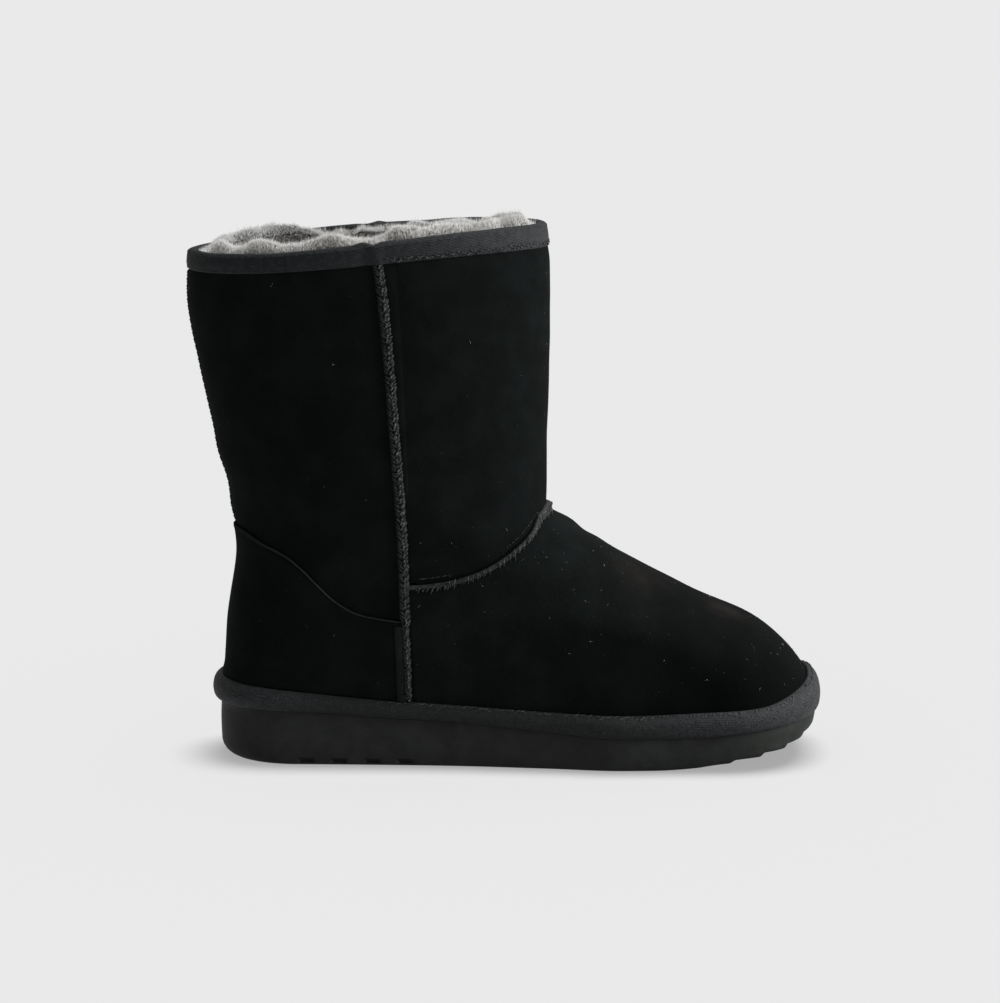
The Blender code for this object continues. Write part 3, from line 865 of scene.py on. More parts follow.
def foam_finish():
    """Moulded foam: a satin skin with fine pits, slow clouds and specks of dust."""
    made, tree, shader, place = new_finish("moulded_foam")
    clouds = grain(tree, place, 9.0, detail=5.0, rough=0.6)
    pits = grain(tree, place, 0.7, detail=2.0)
    dust_and_light = place_effect(tree, LINT, {"Place": place, "Threshold": 0.78})
    skin = blend(tree, between(tree, clouds, 0.3, 0.7), (0.0121, 0.0137, 0.0124), (0.0194, 0.0213, 0.0196))
    feed(shader, {
        "Base Color": blend(tree, calc(tree, "MULTIPLY", dust_and_light["Mask"], 0.6), skin, (0.05, 0.05, 0.045)),
        "Roughness": calc(tree, "ADD", 0.55, calc(tree, "MULTIPLY", clouds, 0.2)),
        "Specular IOR Level": 0.12,
        "Normal": relief(tree, calc(tree, "ADD", pits, clouds), 0.10),
    })
    return made


def wool_finish(name, dark, light, by_fibre):
    """Wool: light soaks through it. Its grey comes from the fibres' tone, which on the collar holds painted
    shade, or else from slow tufts.
    """
    made, tree, shader, place = new_finish(name)
    if by_fibre:
        shade = new_node(tree, "Attribute", {}, attribute_name="tone")["Fac"]
    else:
        shade = between(tree, grain(tree, place, 3.5, detail=3.0), 0.3, 0.7)
        feed(shader, {"Normal": relief(tree, grain(tree, place, 0.7, detail=3.0), 0.5)})
    dark, light = (dark, 0.95 * dark, 0.83 * dark), (light, 0.96 * light, 0.85 * light)
    feed(shader, {
        "Base Color": blend(tree, shade, dark, light),
        "Roughness": 1.0,
        "Specular IOR Level": 0.1,
        "Subsurface Weight": 0.6,
        "Subsurface Scale": 1.0,
        "Subsurface Radius": (0.0013, 0.0013, 0.0013),
    })
    return made


# Brown of the lighter patches on the vamp's top.
PATCH_BROWN = (0.0106, 0.0089, 0.0077)
NAP, LINT, TWILL = nap_effect(), lint_effect(), twill_effect()
SUEDE = suede_finish("black_suede", dark=0.0034, light=0.0074, lint=0.83)
# Vamp suede: lighter than the rest as painted fill light on the vamp's side, darker towards the toe as
# painted shade, with lighter brown patches on its top.
VAMP_SUEDE = suede_finish(
    "black_vamp_suede", dark=0.0042, light=0.0092, lint=0.81, darker=(0.0, 0.115),
    brown_patches=(((0.060, -0.014, 0.083), 0.022), ((0.097, -0.010, 0.064), 0.016)),
)
COUNTER_SUEDE = suede_finish("black_counter_suede", dark=0.0032, light=0.0068, lint=0.83)
SEAM_SUEDE = suede_finish("black_seam_suede", dark=0.0060, light=0.0120, lint=0.84)
FACING_SUEDE = suede_finish("seam_facing_suede", dark=0.0044, light=0.0092, lint=0.84)
TAPE_SUEDE = suede_finish("seam_tape_suede", dark=0.0085, light=0.0165, lint=0.84)
# Lighter than the panels' suede: a painted highlight along the roll's top.
ROLL_SUEDE = thread_finish("vamp_roll_suede", dark=0.0055, light=0.0215)
# Painted shade: dark suede for the groove above the vamp's roll.
SHADED_SUEDE = suede_finish("shaded_suede", dark=0.0016, light=0.0030, lint=0.9)
EDGE_SUEDE = suede_finish("counter_edge_suede", dark=0.0140, light=0.0280, lint=0.84)
# The rand is painted lighter towards the toe and the heel, and the collar tape towards the front: painted
# light where the lamps fall on them.
RAND_TWILL = twill_finish(
    "rand_twill", dark=0.001, light=0.0168, pitch=1.0, slant=0.05, fuzz=3.4, shine=0.2,
    dust_and_light=2.2, lit_stretches=((0.050, 0.105), (-0.070, -0.115)),
)
COLLAR_TWILL = twill_finish(
    "collar_twill", dark=0.003, light=0.026, pitch=1.15, slant=0.36, fuzz=1.6, shine=0.12,
    dust_and_light=1.52, lit_stretches=((-0.085, -0.010),),
)
# One thread in three greys: shaded_thread is painted shade on the side seams' back rows, and the crest
# thread a painted highlight on their crests.
SHADED_THREAD = thread_finish("shaded_thread", dark=0.005, light=0.022)
BLACK_THREAD = thread_finish("black_thread", dark=0.004, light=0.036)
CREST_HIGHLIGHT_THREAD = thread_finish("crest_highlight_thread", dark=0.018, light=0.085)
TAPE_THREAD = thread_finish("tape_thread", dark=0.004, light=0.038)
OVERSEW_THREAD = thread_finish("oversewing_thread", dark=0.008, light=0.060)
FOAM = foam_finish()
# The fleece and the pelt are darker than the pile: painted shade for wool under the fluff and inside the
# shaft.
PILE_WOOL = wool_finish("wool_pile", dark=0.055, light=0.34, by_fibre=True)
FLEECE_WOOL = wool_finish("wool_fleece", dark=0.13, light=0.21, by_fibre=False)
PELT_WOOL = wool_finish("wool_pelt", dark=0.14, light=0.30, by_fibre=False)
LINT_FIBRE = wool_finish("lint_fibre", dark=0.012, light=0.06, by_fibre=True)


# ---------------------------------------------------------------- suede pieces

def vamp_seam(turn):
    """Rise of the seam between vamp and shaft: level in front, then falling to the side seams."""
    return SEAM_FRONT - (SEAM_FRONT - SEAM_SIDE) * ease(np.abs(turn - 2.0)) ** SEAM_DIP


def from_heel(turn):
    """Turns from the back of the heel, the shorter way round."""
    return np.minimum(turn % 4.0, (-turn) % 4.0)


def counter_edge(turn):
    """Rise of the counter's top edge, the same on both sides of the heel."""
    return read(COUNTER_EDGE, "turn", "rise", from_heel(turn))


def places(turns, low, high, rows):
    """Grid of turns and rises, in even steps from one rise to another at each turn."""
    share = np.linspace(0.0, 1.0, rows)[:, None]
    return np.broadcast_to(turns, (rows, len(turns))), low + (high - low) * share


def make_suede():
    front = np.linspace(1.0, 3.0, 281)
    shaft = np.linspace(1.0, 3.0, 145)
    back = np.linspace(-1.0, 1.0, 133)
    for name, grid, finish, edges in (
        ("vamp", places(front, PANEL_FOOT, vamp_seam(front), 77), VAMP_SUEDE, "lrt"),
        ("shaft_front", places(shaft, vamp_seam(shaft), PANEL_TOP, 105), SUEDE, "lrb"),
        ("shaft_back", places(back, PANEL_FOOT, PANEL_TOP, 135), SUEDE, "lr"),
    ):
        piece = panel(name, *grid, 0.0, finish, "suede", edges)
        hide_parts("upper")
    grid = places(back, 0.004, counter_edge(back), 57)
    counter = panel("heel_counter_suede", *grid, COUNTER_LIFT, COUNTER_SUEDE, "counter_suede", "t")
    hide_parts("heel_counter")


def along_seam(turn, low, high, step=0.6):
    """Close points up a seam at a fixed turn."""
    rises = np.linspace(low, high, 400)
    turns = np.full(400, turn)
    count = int(seam_length(turns, rises) / step)
    return seam_samples(turns, rises, np.arange(count) * step)


def ridge_top(across, half, tall):
    """Height of a ridge at a distance from its middle: tall times sqrt(1 - (across / half)^2)."""
    return tall * np.sqrt(np.clip(1.0 - (across / half) ** 2, 0.0, 1.0))


def make_side_seam(name, turn, forwards):
    """A ridge oversewn with thread, from the rand to the collar.

    A row of slanting threads runs down each side and a row of thick ones along its crest. Under
    the counter's edge it narrows and a flat tape lies behind it.
    """
    def size(rises):
        above = ease((rises - counter_edge(1.0) + 0.03) / 0.06)
        return RIDGE_HALF * (0.7 + 0.3 * above), RIDGE_HEIGHT + 0.7 * (1.0 - above)

    turns, rises = along_seam(turn, 0.0, 1.985, step=0.7)
    half, tall = size(rises)
    angle = np.linspace(0.0, math.pi, 11)
    across = half[:, None] * np.concatenate((np.cos(angle), 0.9 * np.cos(angle)[::-1][1:-1]))
    up = np.concatenate((tall[:, None] * np.sin(angle) - 0.3, np.full((len(rises), 9), -1.2)), axis=1)
    ridge = beside(turns[:, None], rises[:, None], up, ahead=forwards * across)
    sweep_piece(name + "_ridge", ridge, SEAM_SUEDE)

    random = np.random.default_rng(71)
    line_turns, line_rises = along_seam(turn, 0.01, 1.94, step=0.5)
    t = np.linspace(0.0, 1.0, 6)
    # The back row is painted shade and the crest row a painted highlight, on one thread.
    for label, pitch, run, spread, start, thick, lift, finish in (
        ("back", 0.7, 1.5, -0.85, -0.10, 0.25, 0.0, SHADED_THREAD),
        ("front", 0.75, 1.4, 0.75, 0.25, 0.27, 0.0, BLACK_THREAD),
        ("crest", 1.6, 1.35, 0.28, 0.08, 0.40, 0.15, CREST_HIGHLIGHT_THREAD),
    ):
        count = int(seam_length(line_turns, line_rises) / pitch)
        stray = np.clip(random.normal(scale=STRAY, size=(4, count, 1)), -0.6, 0.6)
        distance = (np.arange(count)[:, None] + stray[0]) * pitch
        at_turn, at_rise = seam_samples(line_turns, line_rises, distance + run * (1.0 + stray[1]) * t)
        half, tall = size(at_rise)
        across = half * (start + spread * t + 0.35 * stray[2])
        top = ridge_top(across, half, tall) - 0.3 + 0.3 * np.sin(math.pi * t) + lift + 0.8 * stray[3]
        path = beside(at_turn, at_rise, top, ahead=forwards * across)
        tubes(f"{name}_{label}_threads", path, thick * (1.0 + 0.7 * stray[2, :, 0]), finish)

    seam_strip(
        name + "_tape", turn, -forwards, ends=(0.0, counter_edge(1.0) - 0.01), sides=(1.2, 1.2 + TAPE_WIDTH),
        lift=COUNTER_LIFT + 0.05, thickness=0.6, finish=TAPE_SUEDE,
    )
    seam_strip(
        name + "_facing", turn, forwards, ends=(1.05, 1.96),
        sides=(RIDGE_HALF - 0.6, RIDGE_HALF + FACING_WIDTH),
        lift=-0.3, thickness=0.42, finish=FACING_SUEDE, narrowing=1.0,
    )


def seam_strip(name, turn, forwards, ends, sides, lift, thickness, finish, narrowing=0.0):
    """A flat strip beside a seam, from one rise to another, with its edges rolled down.

    sides are its edges' distances from the seam. narrowing is how much it closes up downwards.
    """
    turns, rises = along_seam(turn, *ends, step=0.8)
    share = np.linspace(0.0, 1.0, 12)
    up_share = (rises - ends[0])[:, None] / (ends[1] - ends[0])
    width = sides[0] + (sides[1] - sides[0]) * share * (1.0 - 0.6 * narrowing * (1.0 - up_share))
    arch = np.sin(math.pi * (0.02 + 0.96 * share)) ** (0.4 + 0.3 * narrowing)
    edge = lift + thickness * arch * ease(up_share / 0.1 + 1.0 - narrowing)
    across = np.concatenate((width, width[..., ::-1]), axis=-1)
    up = np.concatenate((edge, np.full_like(edge, lift - 0.5)), axis=-1)
    sweep_piece(name, beside(turns[:, None], rises[:, None], up, ahead=forwards * across), finish)


def front_lip(turns):
    """1 in front of the shaft, where the vamp's seam stands out as a lip, and 0 beside it."""
    return bell((turns - 2.0) / 0.3)


def make_vamp_seam():
    """Rolled edge where the shaft folds on to the vamp: stitched above, oversewn below.

    In front the roll thickens into a lip.
    """
    turns = np.linspace(1.0, 3.0, 520)
    at_front = front_lip(turns)[:, None]
    radius = ROLL_RADIUS + ROLL_LIP * at_front
    angle = np.arange(14) * 2.0 * math.pi / 14.0
    wave = 0.34 * noise(last_point(turns, vamp_seam(turns)), 1.2, 9)[:, None]
    up = radius * np.cos(angle) - ROLL_DROP + 4.2 * at_front
    roll_turn, roll_rise = moved(turns[:, None], vamp_seam(turns)[:, None], up=up)
    out = 0.3 + 0.95 * radius * (1.0 + np.sin(angle)) - ROLL_RADIUS - 1.9 * at_front + wave
    sweep_piece("vamp_seam_roll", off_suede(roll_turn, roll_rise, out), ROLL_SUEDE)
    # A dark tube in the groove above the roll: painted shade where the shaft folds over it.
    line = np.linspace(1.03, 2.97, 400)
    fold = beside(line, vamp_seam(line), 0.05 - 0.9 * front_lip(line), up=0.45)
    tubes("vamp_seam_groove_shade", fold[None], 0.6, SHADED_SUEDE, sides=8)
    seam_stitches(
        "vamp_seam_top_stitches", 1.36, 2.64, points=500, up=2.9,
        pitch=1.35, length=0.8, out=0.0, radius=0.17, finish=TAPE_THREAD,
    )
    over_roll = dict(length=0.7, out=np.array((0.0, 0.75, 1.45, 1.85, 1.75)), finish=OVERSEW_THREAD)
    for label, turn, forwards in SIDES:
        seam_stitches(
            f"{label}_vamp_oversewing", turn + forwards * 0.10, turn + forwards * 0.93, points=300,
            up=-ROLL_DROP - 0.8, lip=2.6,
            pitch=1.05, radius=0.2, slant=0.9 * forwards, climb=2.3, **over_roll,
        )
    for label, turn, forwards in SIDES:
        seam_stitches(
            f"{label}_junction_threads", turn + forwards * 0.025, turn + forwards * 0.115, points=60,
            up=-ROLL_DROP - 1.2,
            pitch=1.15, radius=0.21, slant=forwards, climb=2.5, **over_roll,
        )
        seam_stitches(
            f"{label}_junction_stitches", turn + forwards * 0.03, turn + forwards * 0.16, points=60,
            up=2.6,
            pitch=2.6, length=2.2, out=0.1, radius=0.18, finish=TAPE_THREAD,
        )


def seam_stitches(name, start, end, points, up, lip=0.0, **stitch):
    """Stitches between two turns, up above the vamp's seam, and by lip more in front."""
    line = np.linspace(start, end, points)
    turns, rises = moved(line, vamp_seam(line), up=up + lip * front_lip(line))
    stitches(name, turns, rises, **stitch)


def make_back_seam():
    """Narrow ridge up the back with a zigzag of thread over it."""
    step = 0.45
    turns, rises = along_seam(0.0, float(counter_edge(0.0)) - 0.02, 1.93, step=step)
    angle = np.linspace(0.0, math.pi, 9)
    across = np.concatenate((1.6 * np.cos(angle), 1.4 * np.cos(angle)[::-1][1:-1]))
    up = np.concatenate((0.85 * np.sin(angle) - 0.35, np.full(7, -1.1)))
    ridge = beside(turns[:, None], rises[:, None], up, ahead=across)
    sweep_piece("back_seam_ridge", ridge, SEAM_SUEDE)
    distance = np.arange(len(turns)) * step
    zigzag = 2.0 / math.pi * np.arcsin(np.sin(2.0 * math.pi * distance / ZIGZAG_PITCH))
    path = beside(turns, rises, 0.60 - 0.35 * np.abs(zigzag), ahead=1.7 * zigzag)
    tubes("back_seam_thread", path[None], 0.26, BLACK_THREAD, sides=6)


def make_counter_edge():
    """The counter's cut edge, turned in over a fine cord."""
    line = np.linspace(-0.985, 0.985, 600)
    edge_turn, edge_rise = moved(line, counter_edge(line), up=-0.25)
    wave = 0.12 * noise(last_point(edge_turn, edge_rise), 5.0, 8)
    edge = off_suede(edge_turn, edge_rise, COUNTER_GAP + 0.75 + wave)
    tubes("heel_counter_cord", edge[None], 0.36, EDGE_SUEDE, sides=8)
    line = np.linspace(-0.5, 0.5, 240)
    sunk = 0.5 * ease(np.abs(line) / 0.25 - 1.0)
    fold = beside(line, counter_edge(line), COUNTER_GAP + 0.55 - sunk, up=-1.1)
    tubes("heel_counter_fold", fold[None], 0.75, TAPE_SUEDE, sides=8)


# ---------------------------------------------------------------- tapes

def drop_to_rise(drop):
    """Rise at a distance down the shaft from the rim."""
    return 2.0 - drop / (SHAFT_HEIGHT - INSTEP_HEIGHT)


def rim_place(turn, drop, out):
    """Point at the collar: drop below the rim, or above it when negative, and out from the shaft."""
    turn, drop, out = np.broadcast_arrays(turn, drop, out)
    point = off_last(turn, drop_to_rise(np.maximum(drop, 0.0)), out)
    point[..., 2] += np.maximum(-drop, 0.0)
    return point


def from_side_seam(turn):
    """Signed way round the collar to the nearer side seam, in millimetres, ahead of it positive."""
    return (from_heel(turn) - 1.0) * COLLAR_TURN


def binding_depth(turn):
    ahead = ease(1.5 - np.abs(turn % 4.0 - 2.0))
    return BINDING_DEPTH_BACK + (BINDING_DEPTH_FRONT - BINDING_DEPTH_BACK) * ahead


def make_binding():
    """Tape folded over the rim: flat outside, round over the top, tucked into the wool.

    At each side seam it humps up and dents in behind the seam, then dips and bulges over it.
    """
    turns = np.linspace(0.0, 4.0, 620, endpoint=False)
    seam = from_side_seam(turns)
    front = ease(seam / 4.0)
    outer_side = turns < 2.0
    hump = 0.9 * bell((seam + 5.0) / 3.0) - 1.0 * bell(seam / 1.8)
    inner_hump = 0.6 * bell((seam - 0.5) / 2.5) - 0.4 * bell((seam + 5.0) / 3.0)
    hump = np.where(outer_side, hump, inner_hump)
    lift = hump + 0.25 * noise(rim_place(turns, 0.0, 0.0), 9.0, 12)
    over = 0.8 * bell((seam - 1.0) / 2.2) - 0.9 * bell((seam + 5.0) / 2.6)
    way = lengths_along(rim_place(turns, 0.0, 0.0), 0)
    pinch = 0.10 * np.sin(2.0 * math.pi * way / 2.3) + 0.30 * noise(rim_place(turns, 8.0, 0.0), 2.6, 13)
    pinch *= 0.3 + 0.7 * front
    over = over - 0.8 * bell((turns - 2.0) / 0.35)
    depth = binding_depth(turns) + 0.25 * pinch
    outer = GAP + BINDING_THICKNESS
    loops = []
    for share, out in (
        (0.97, 0.0), (1.0, 0.30), (1.0, 0.75), (0.97, 1.10), (0.92, 1.30), (0.86, 1.38), (0.80, 1.38),
    ):
        loops.append(rim_place(turns, depth * share, out + over + pinch * (0.80 < share)))
    for share in (0.73, 0.62, 0.48, 0.34, 0.20, 0.09):
        swell = 0.2 * math.sin(math.pi * share)
        loops.append(rim_place(turns, depth * share, outer + over * (0.4 + 0.6 * share) + swell))
    middle, half = (outer - BINDING_LIP) / 2.0, (outer + BINDING_LIP) / 2.0
    for angle in np.linspace(0.0, math.pi, 9):
        crown = rim_place(turns, 0.0, middle + half * math.cos(angle) + 0.4 * over)
        crown[:, 2] += 1.3 * math.sin(angle) - 0.9 + lift * math.sin(angle) ** 0.5
        loops.append(crown)
    for drop, out in ((3.0, -BINDING_LIP - 0.3), (3.0, -BINDING_LIP + 0.9), (2.0, 0.2)):
        loops.append(rim_place(turns, drop, out))
    binding = ring_piece("collar_tape", loops, COLLAR_TWILL)
    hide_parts("collar_binding")
    line = np.linspace(0.0, 4.0, 1600)
    starts = stitches_on(line, drop_to_rise(binding_depth(line) * 0.88), 0.95)
    starts = starts[from_side_seam(starts) > 2.0]
    rim_stitches("collar_stitches", starts)


def stitches_on(turns, rises, pitch):
    """Turns of evenly spaced stitches along a line."""
    length = seam_length(turns, rises)
    count = int(length / pitch)
    return seam_samples(turns, rises, np.arange(count) * length / count)[0]


def rim_stitches(name, starts):
    """Loops of thread along the binding's lower edge: each an arch out of the tape, a little slanted."""
    random = np.random.default_rng(81)
    stray = random.normal(scale=STRAY, size=(4, len(starts), 1))
    t = np.linspace(0.0, 1.0, 5)
    turn = starts[:, None] + 0.004 * stray[2] + (0.0105 + 0.008 * stray[0]) * t
    drop = binding_depth(starts)[:, None] * 0.84 + 1.6 * stray[3] + (0.2 + 1.3 * stray[1]) * (t - 0.5)
    slim = 0.8 * bell((turn - 2.0) / 0.35)
    path = rim_place(turn, drop, GAP + BINDING_THICKNESS - 0.2 - slim + 0.4 * 4.0 * t * (1.0 - t))
    tubes(name, path, 0.34 * (1.0 + 0.8 * stray[0, :, 0]), TAPE_THREAD)


def make_rand():
    """Padded tape band round the foot: a smooth bulge, gathered by stitches along its top edge."""
    turns = np.linspace(0.0, 4.0, 1000, endpoint=False)
    ring = last_point(turns, 0.0)
    way = lengths_along(ring, 0)
    pucker = 0.25 * np.sin(2.0 * math.pi * way / 2.3) + 0.9 * noise(ring, 1.8, 14)
    pucker *= 0.35 + 0.65 * ease((ring[:, 0] - 60.0) / 40.0)
    slow = 0.35 * noise(ring, 22.0, 15)
    loops = []
    for share in (
        -0.05, 0.0, 0.05, 0.11, 0.17, 0.25, 0.34, 0.43, 0.52, 0.61, 0.70, 0.78, 0.85, 0.91, 0.95, 0.98, 1.0,
    ):
        out = read(RAND_SIDE, "up", "out", share)
        gather = 0.5 * bell((share - 0.92) / 0.07)
        swell = 0.5 + 0.5 * math.sin(math.pi * share)
        loops.append(rand_place(turns, RAND_BULGE * out + gather * pucker + slow * swell, share))
    for out, share in ((GAP, 1.0), (GAP, 0.5), (GAP, 0.0)):
        loops.append(rand_place(turns, out, share))
    rand = ring_piece("rand_band", loops, RAND_TWILL)
    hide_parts("rand")

    random = np.random.default_rng(83)
    t = np.linspace(0.0, 1.0, 5)
    line = np.linspace(0.0, 4.0, 2400)
    starts = stitches_on(line, 0.0 * line, 1.7)
    starts = starts[last_point(starts, 0.0)[:, 0] + 40.0 * random.uniform(size=len(starts)) > 90.0]
    stray = random.normal(scale=STRAY, size=(4, len(starts), 1))
    turn = starts[:, None] + 0.003 * stray[2] + (0.0075 + 0.006 * stray[0]) * t
    share = 0.95 + 0.08 * stray[3] + (0.06 + 0.15 * stray[1]) * (t - 0.5)
    out = RAND_BULGE * 0.46 - 2.6 * (share - 0.95) * RAND_BULGE + 0.30 * 4.0 * t * (1.0 - t)
    thick = 0.25 * (1.0 + stray[0, :, 0])
    tubes("rand_stitches", rand_place(turn, out, share), thick, TAPE_THREAD)


def rand_place(turn, out, share):
    """Point on the rand: out from the feather line, at a share of the way up from the ledge.

    Round the tip of the toe the band's top edge rides up over the upper.
    """
    turn, out, share = np.broadcast_arrays(turn, out, share)
    point = off_last(turn, 0.0, out)
    x = feather_x(turn)
    bottom = ledge_height(x) + GAP
    tip = bell((turn % 4.0 - 2.0) / 0.22) * np.clip(share, 0.0, 1.0)
    point[..., 2] = bottom + (feather_height(x) - bottom) * share + TIP_RISE * tip
    point[..., 0] -= 0.35 * TIP_RISE * tip * np.clip(1.6 - out / RAND_BULGE, 0.0, 1.0)
    return point


# ---------------------------------------------------------------- sole

HEEL_GROOVES = dict(first=36.9, pitch=14.6, count=4, width=6.2)
POCKET_TOP, POCKET_BOTTOM = 3.1, 1.3   # a heel groove shows in the wall between these heights
POCKET_DEPTH = 1.2
LUG_STEPS = (210.0, 223.3, 236.5, 247.2, 254.5, 260.5)
LUG_DEPTH = 1.6
GROOVE_EDGE = 1.6                      # width over which a groove's side slopes
LEVELS_EDGE = 3.6                      # the levels below spread out where the tread's edge is rounder
# Levels of the wall above the tread, and how much of a pocket's depth each goes in
TREAD_LEVELS = table(
    "Level", "up push",
    (POCKET_TOP + 0.15, 0.0), (POCKET_TOP, 1.0), (2.2, 1.0), (POCKET_BOTTOM, 1.0),
    (POCKET_BOTTOM - 0.15, 0.0), (0.6, 0.0), (0.25, 0.0), (0.0, 0.0),
)


def groove_share(x):
    """1 in the grooves across the heel and 0 between them, with steep sides."""
    share = np.zeros_like(x)
    for i in range(HEEL_GROOVES["count"]):
        away = np.abs(x - HEEL_GROOVES["first"] - i * HEEL_GROOVES["pitch"])
        share = np.maximum(share, ease(((HEEL_GROOVES["width"] + GROOVE_EDGE) / 2.0 - away) / GROOVE_EDGE))
    return share


def lug_rise(x):
    """Lugs under the toe, like the teeth of a saw: each steps up from the tread, then slopes down to it."""
    steps = np.interp(x, LUG_STEPS, np.arange(len(LUG_STEPS)))
    tooth = steps % 1.0
    return LUG_DEPTH * (1.0 - tooth) * ease(tooth / 0.22) * ease(steps / 2.0 + 0.1) * (steps > 0.0)


def sole_turns(count):
    """Turns round the sole, the same on both sides, from the heel point back to it."""
    outer = np.linspace(0.0, 2.0, count)[:-1]
    return np.concatenate((outer, [2.0], 4.0 - outer[:0:-1]))


def towards_axis(ring, share):
    """Ring moved a share of the way to the foot's axis, which keeps each point's x."""
    closer = ring.copy()
    axis = axis_side(ring[:, 0])
    closer[:, 1] = axis + (ring[:, 1] - axis) * (1.0 - share)
    return closer


def capped_piece(name, loops, finish):
    """Rings from heel point to heel point, one after the other, closed at both ends.

    An end ring is zipped up between its two sides, from the heel point to the toe point.
    """
    loops = np.asarray(loops)
    count, width = loops.shape[:2]
    half = width // 2
    i = np.arange(1, half - 1)
    zip_quads = np.stack((i, i + 1, width - i - 1, width - i), axis=-1)
    zip_ends = np.array(((0, 1, width - 1), (half - 1, half, half + 1)))
    last = (count - 1) * width
    quads = np.concatenate((grid_quads(count, width, wrap=True)[0], zip_quads + last, zip_quads[:, ::-1]))
    triangles = np.concatenate((zip_ends + last, zip_ends[:, ::-1]))
    return new_piece(name, loops, [quads, triangles], finish)


def make_outsole():
    """Foam wedge: its wall bulges a little, with pockets at the heel and a rounded edge.

    The lugs under the toe are deepest at the wall and run out under the foot.
    """
    turns = sole_turns(410)
    x = feather_x(turns)
    at_heel = 1.0 - ease(x / (HEEL_EDGE_END * LENGTH))
    at_toe = ease((x / LENGTH - 0.93) / 0.07)
    edge = TREAD_EDGE + (HEEL_EDGE - TREAD_EDGE) * at_heel + (TOE_EDGE - TREAD_EDGE) * at_toe
    pocket = POCKET_DEPTH * groove_share(x)
    lugs = lug_rise(x)
    foot = tread_height(x) + lugs
    ledge = ledge_height(x)
    under_ledge = ledge - 0.4
    top = level_ring(turns, OUTSOLE_MARGIN - 0.3, ledge)
    shoulder = level_ring(turns, OUTSOLE_MARGIN - 0.08, ledge - 0.12)
    loops = [towards_axis(top, share) for share in (0.97, 0.5)] + [top, shoulder]
    margin = OUTSOLE_MARGIN - 0.8 * bell(x / 9.0)
    wall_foot = foot + np.maximum(edge, POCKET_TOP + 0.4)
    for share in (0.0, 0.17, 0.34, 0.50, 0.67, 0.84, 1.0):
        swell = 0.3 * math.sin(math.pi * share)
        loops.append(level_ring(turns, margin + swell, under_ledge + (wall_foot - under_ledge) * share))
    for level in TREAD_LEVELS:
        above = level.up * np.maximum(edge / LEVELS_EDGE, 1.0)
        drop = np.clip(1.0 - above / edge, 0.0, 1.0)
        round_in = edge * (1.0 - np.sqrt(1.0 - drop ** 2))
        loops.append(level_ring(turns, margin - round_in - level.push * pocket, foot + above))
    bottom = loops[-1]
    for share in (0.07, 0.14, 0.21, 0.28, 0.35, 0.55, 0.75, 0.97):
        ring = towards_axis(bottom, share)
        ring[:, 2] -= lugs * ease((share - 0.05) / 0.25)
        loops.append(ring)
    outsole = capped_piece("outsole_foam", loops, FOAM)
    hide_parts("outsole")


# ---------------------------------------------------------------- wool

def make_insole():
    """Footbed: wool on a board, hollowed under the heel and lumpy with tufts."""
    turns = sole_turns(131)
    inset = -(WALL + 2.0 * GAP)
    bottom = ledge_height(feather_x(turns)) + GAP
    base = level_ring(turns, inset, bottom)
    loops = [towards_axis(base, share) for share in (0.97, 0.5)] + [base]
    for inwards, share in ((0.0, 0.35), (0.0, 0.7), (0.7, 0.85), (1.8, 0.95)):
        loops.append(level_ring(turns, inset - inwards, bottom + INSOLE_THICKNESS * share))
    rim = loops[-1]
    for share in np.linspace(0.0, 0.98, 18)[1:]:
        ring = towards_axis(rim, share)
        tufts = 0.8 * noise(ring, 6.0, 21) + 0.5 * noise(ring, 2.6, 22)
        ring[:, 2] = bottom + INSOLE_THICKNESS * (0.95 - 0.10 * math.sin(math.pi * share / 2.0)) + tufts
        loops.append(ring)
    insole = capped_piece("insole_wool", loops, PELT_WOOL)
    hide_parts("insole")


def rise_below_rim(drop):
    """Rise at a distance below the rim, right down to the feather line."""
    levels = (0.0, SHAFT_HEIGHT - INSTEP_HEIGHT, SHAFT_HEIGHT - FEATHER_HEIGHT)
    return np.interp(drop, levels, (2.0, 1.0, 0.0))


def make_pelt():
    """Wool side of the sheepskin: a lumpy skin inside the whole upper.

    At its foot it turns in over the edge of the insole.
    """
    turns = np.linspace(0.0, 4.0, 200, endpoint=False)
    drops = np.concatenate((np.linspace(1.5, 30.0, 16), np.linspace(33.0, 200.0, 50)))
    loops = []
    for drop in drops:
        rise = rise_below_rim(drop)
        inside = off_last(turns, rise, -WALL + 1.5)
        tufts = 1.5 * noise(inside, 7.0, 31) + 0.9 * noise(inside, 2.8, 32)
        tuck = 3.5 * math.exp(-(drop - 1.5) / 4.0)
        loops.append(off_last(turns, rise, -WALL + 2.0 + tuck + tufts))
    insole_top = ledge_height(feather_x(turns)) + GAP + 0.95 * INSOLE_THICKNESS
    for inset, lift in ((WALL - 0.6, 0.6), (WALL + 1.6, -0.6), (WALL + 0.8, -3.5), (3.0, -3.5)):
        loops.append(level_ring(turns, -inset, insole_top + lift))
    for drop in drops[::-2]:
        loops.append(off_last(turns, rise_below_rim(drop), -2.1))
    loops.append(off_last(turns, 1.985, -2.2))
    pelt = ring_piece("lining_pelt", loops, PELT_WOOL)
    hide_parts("upper")


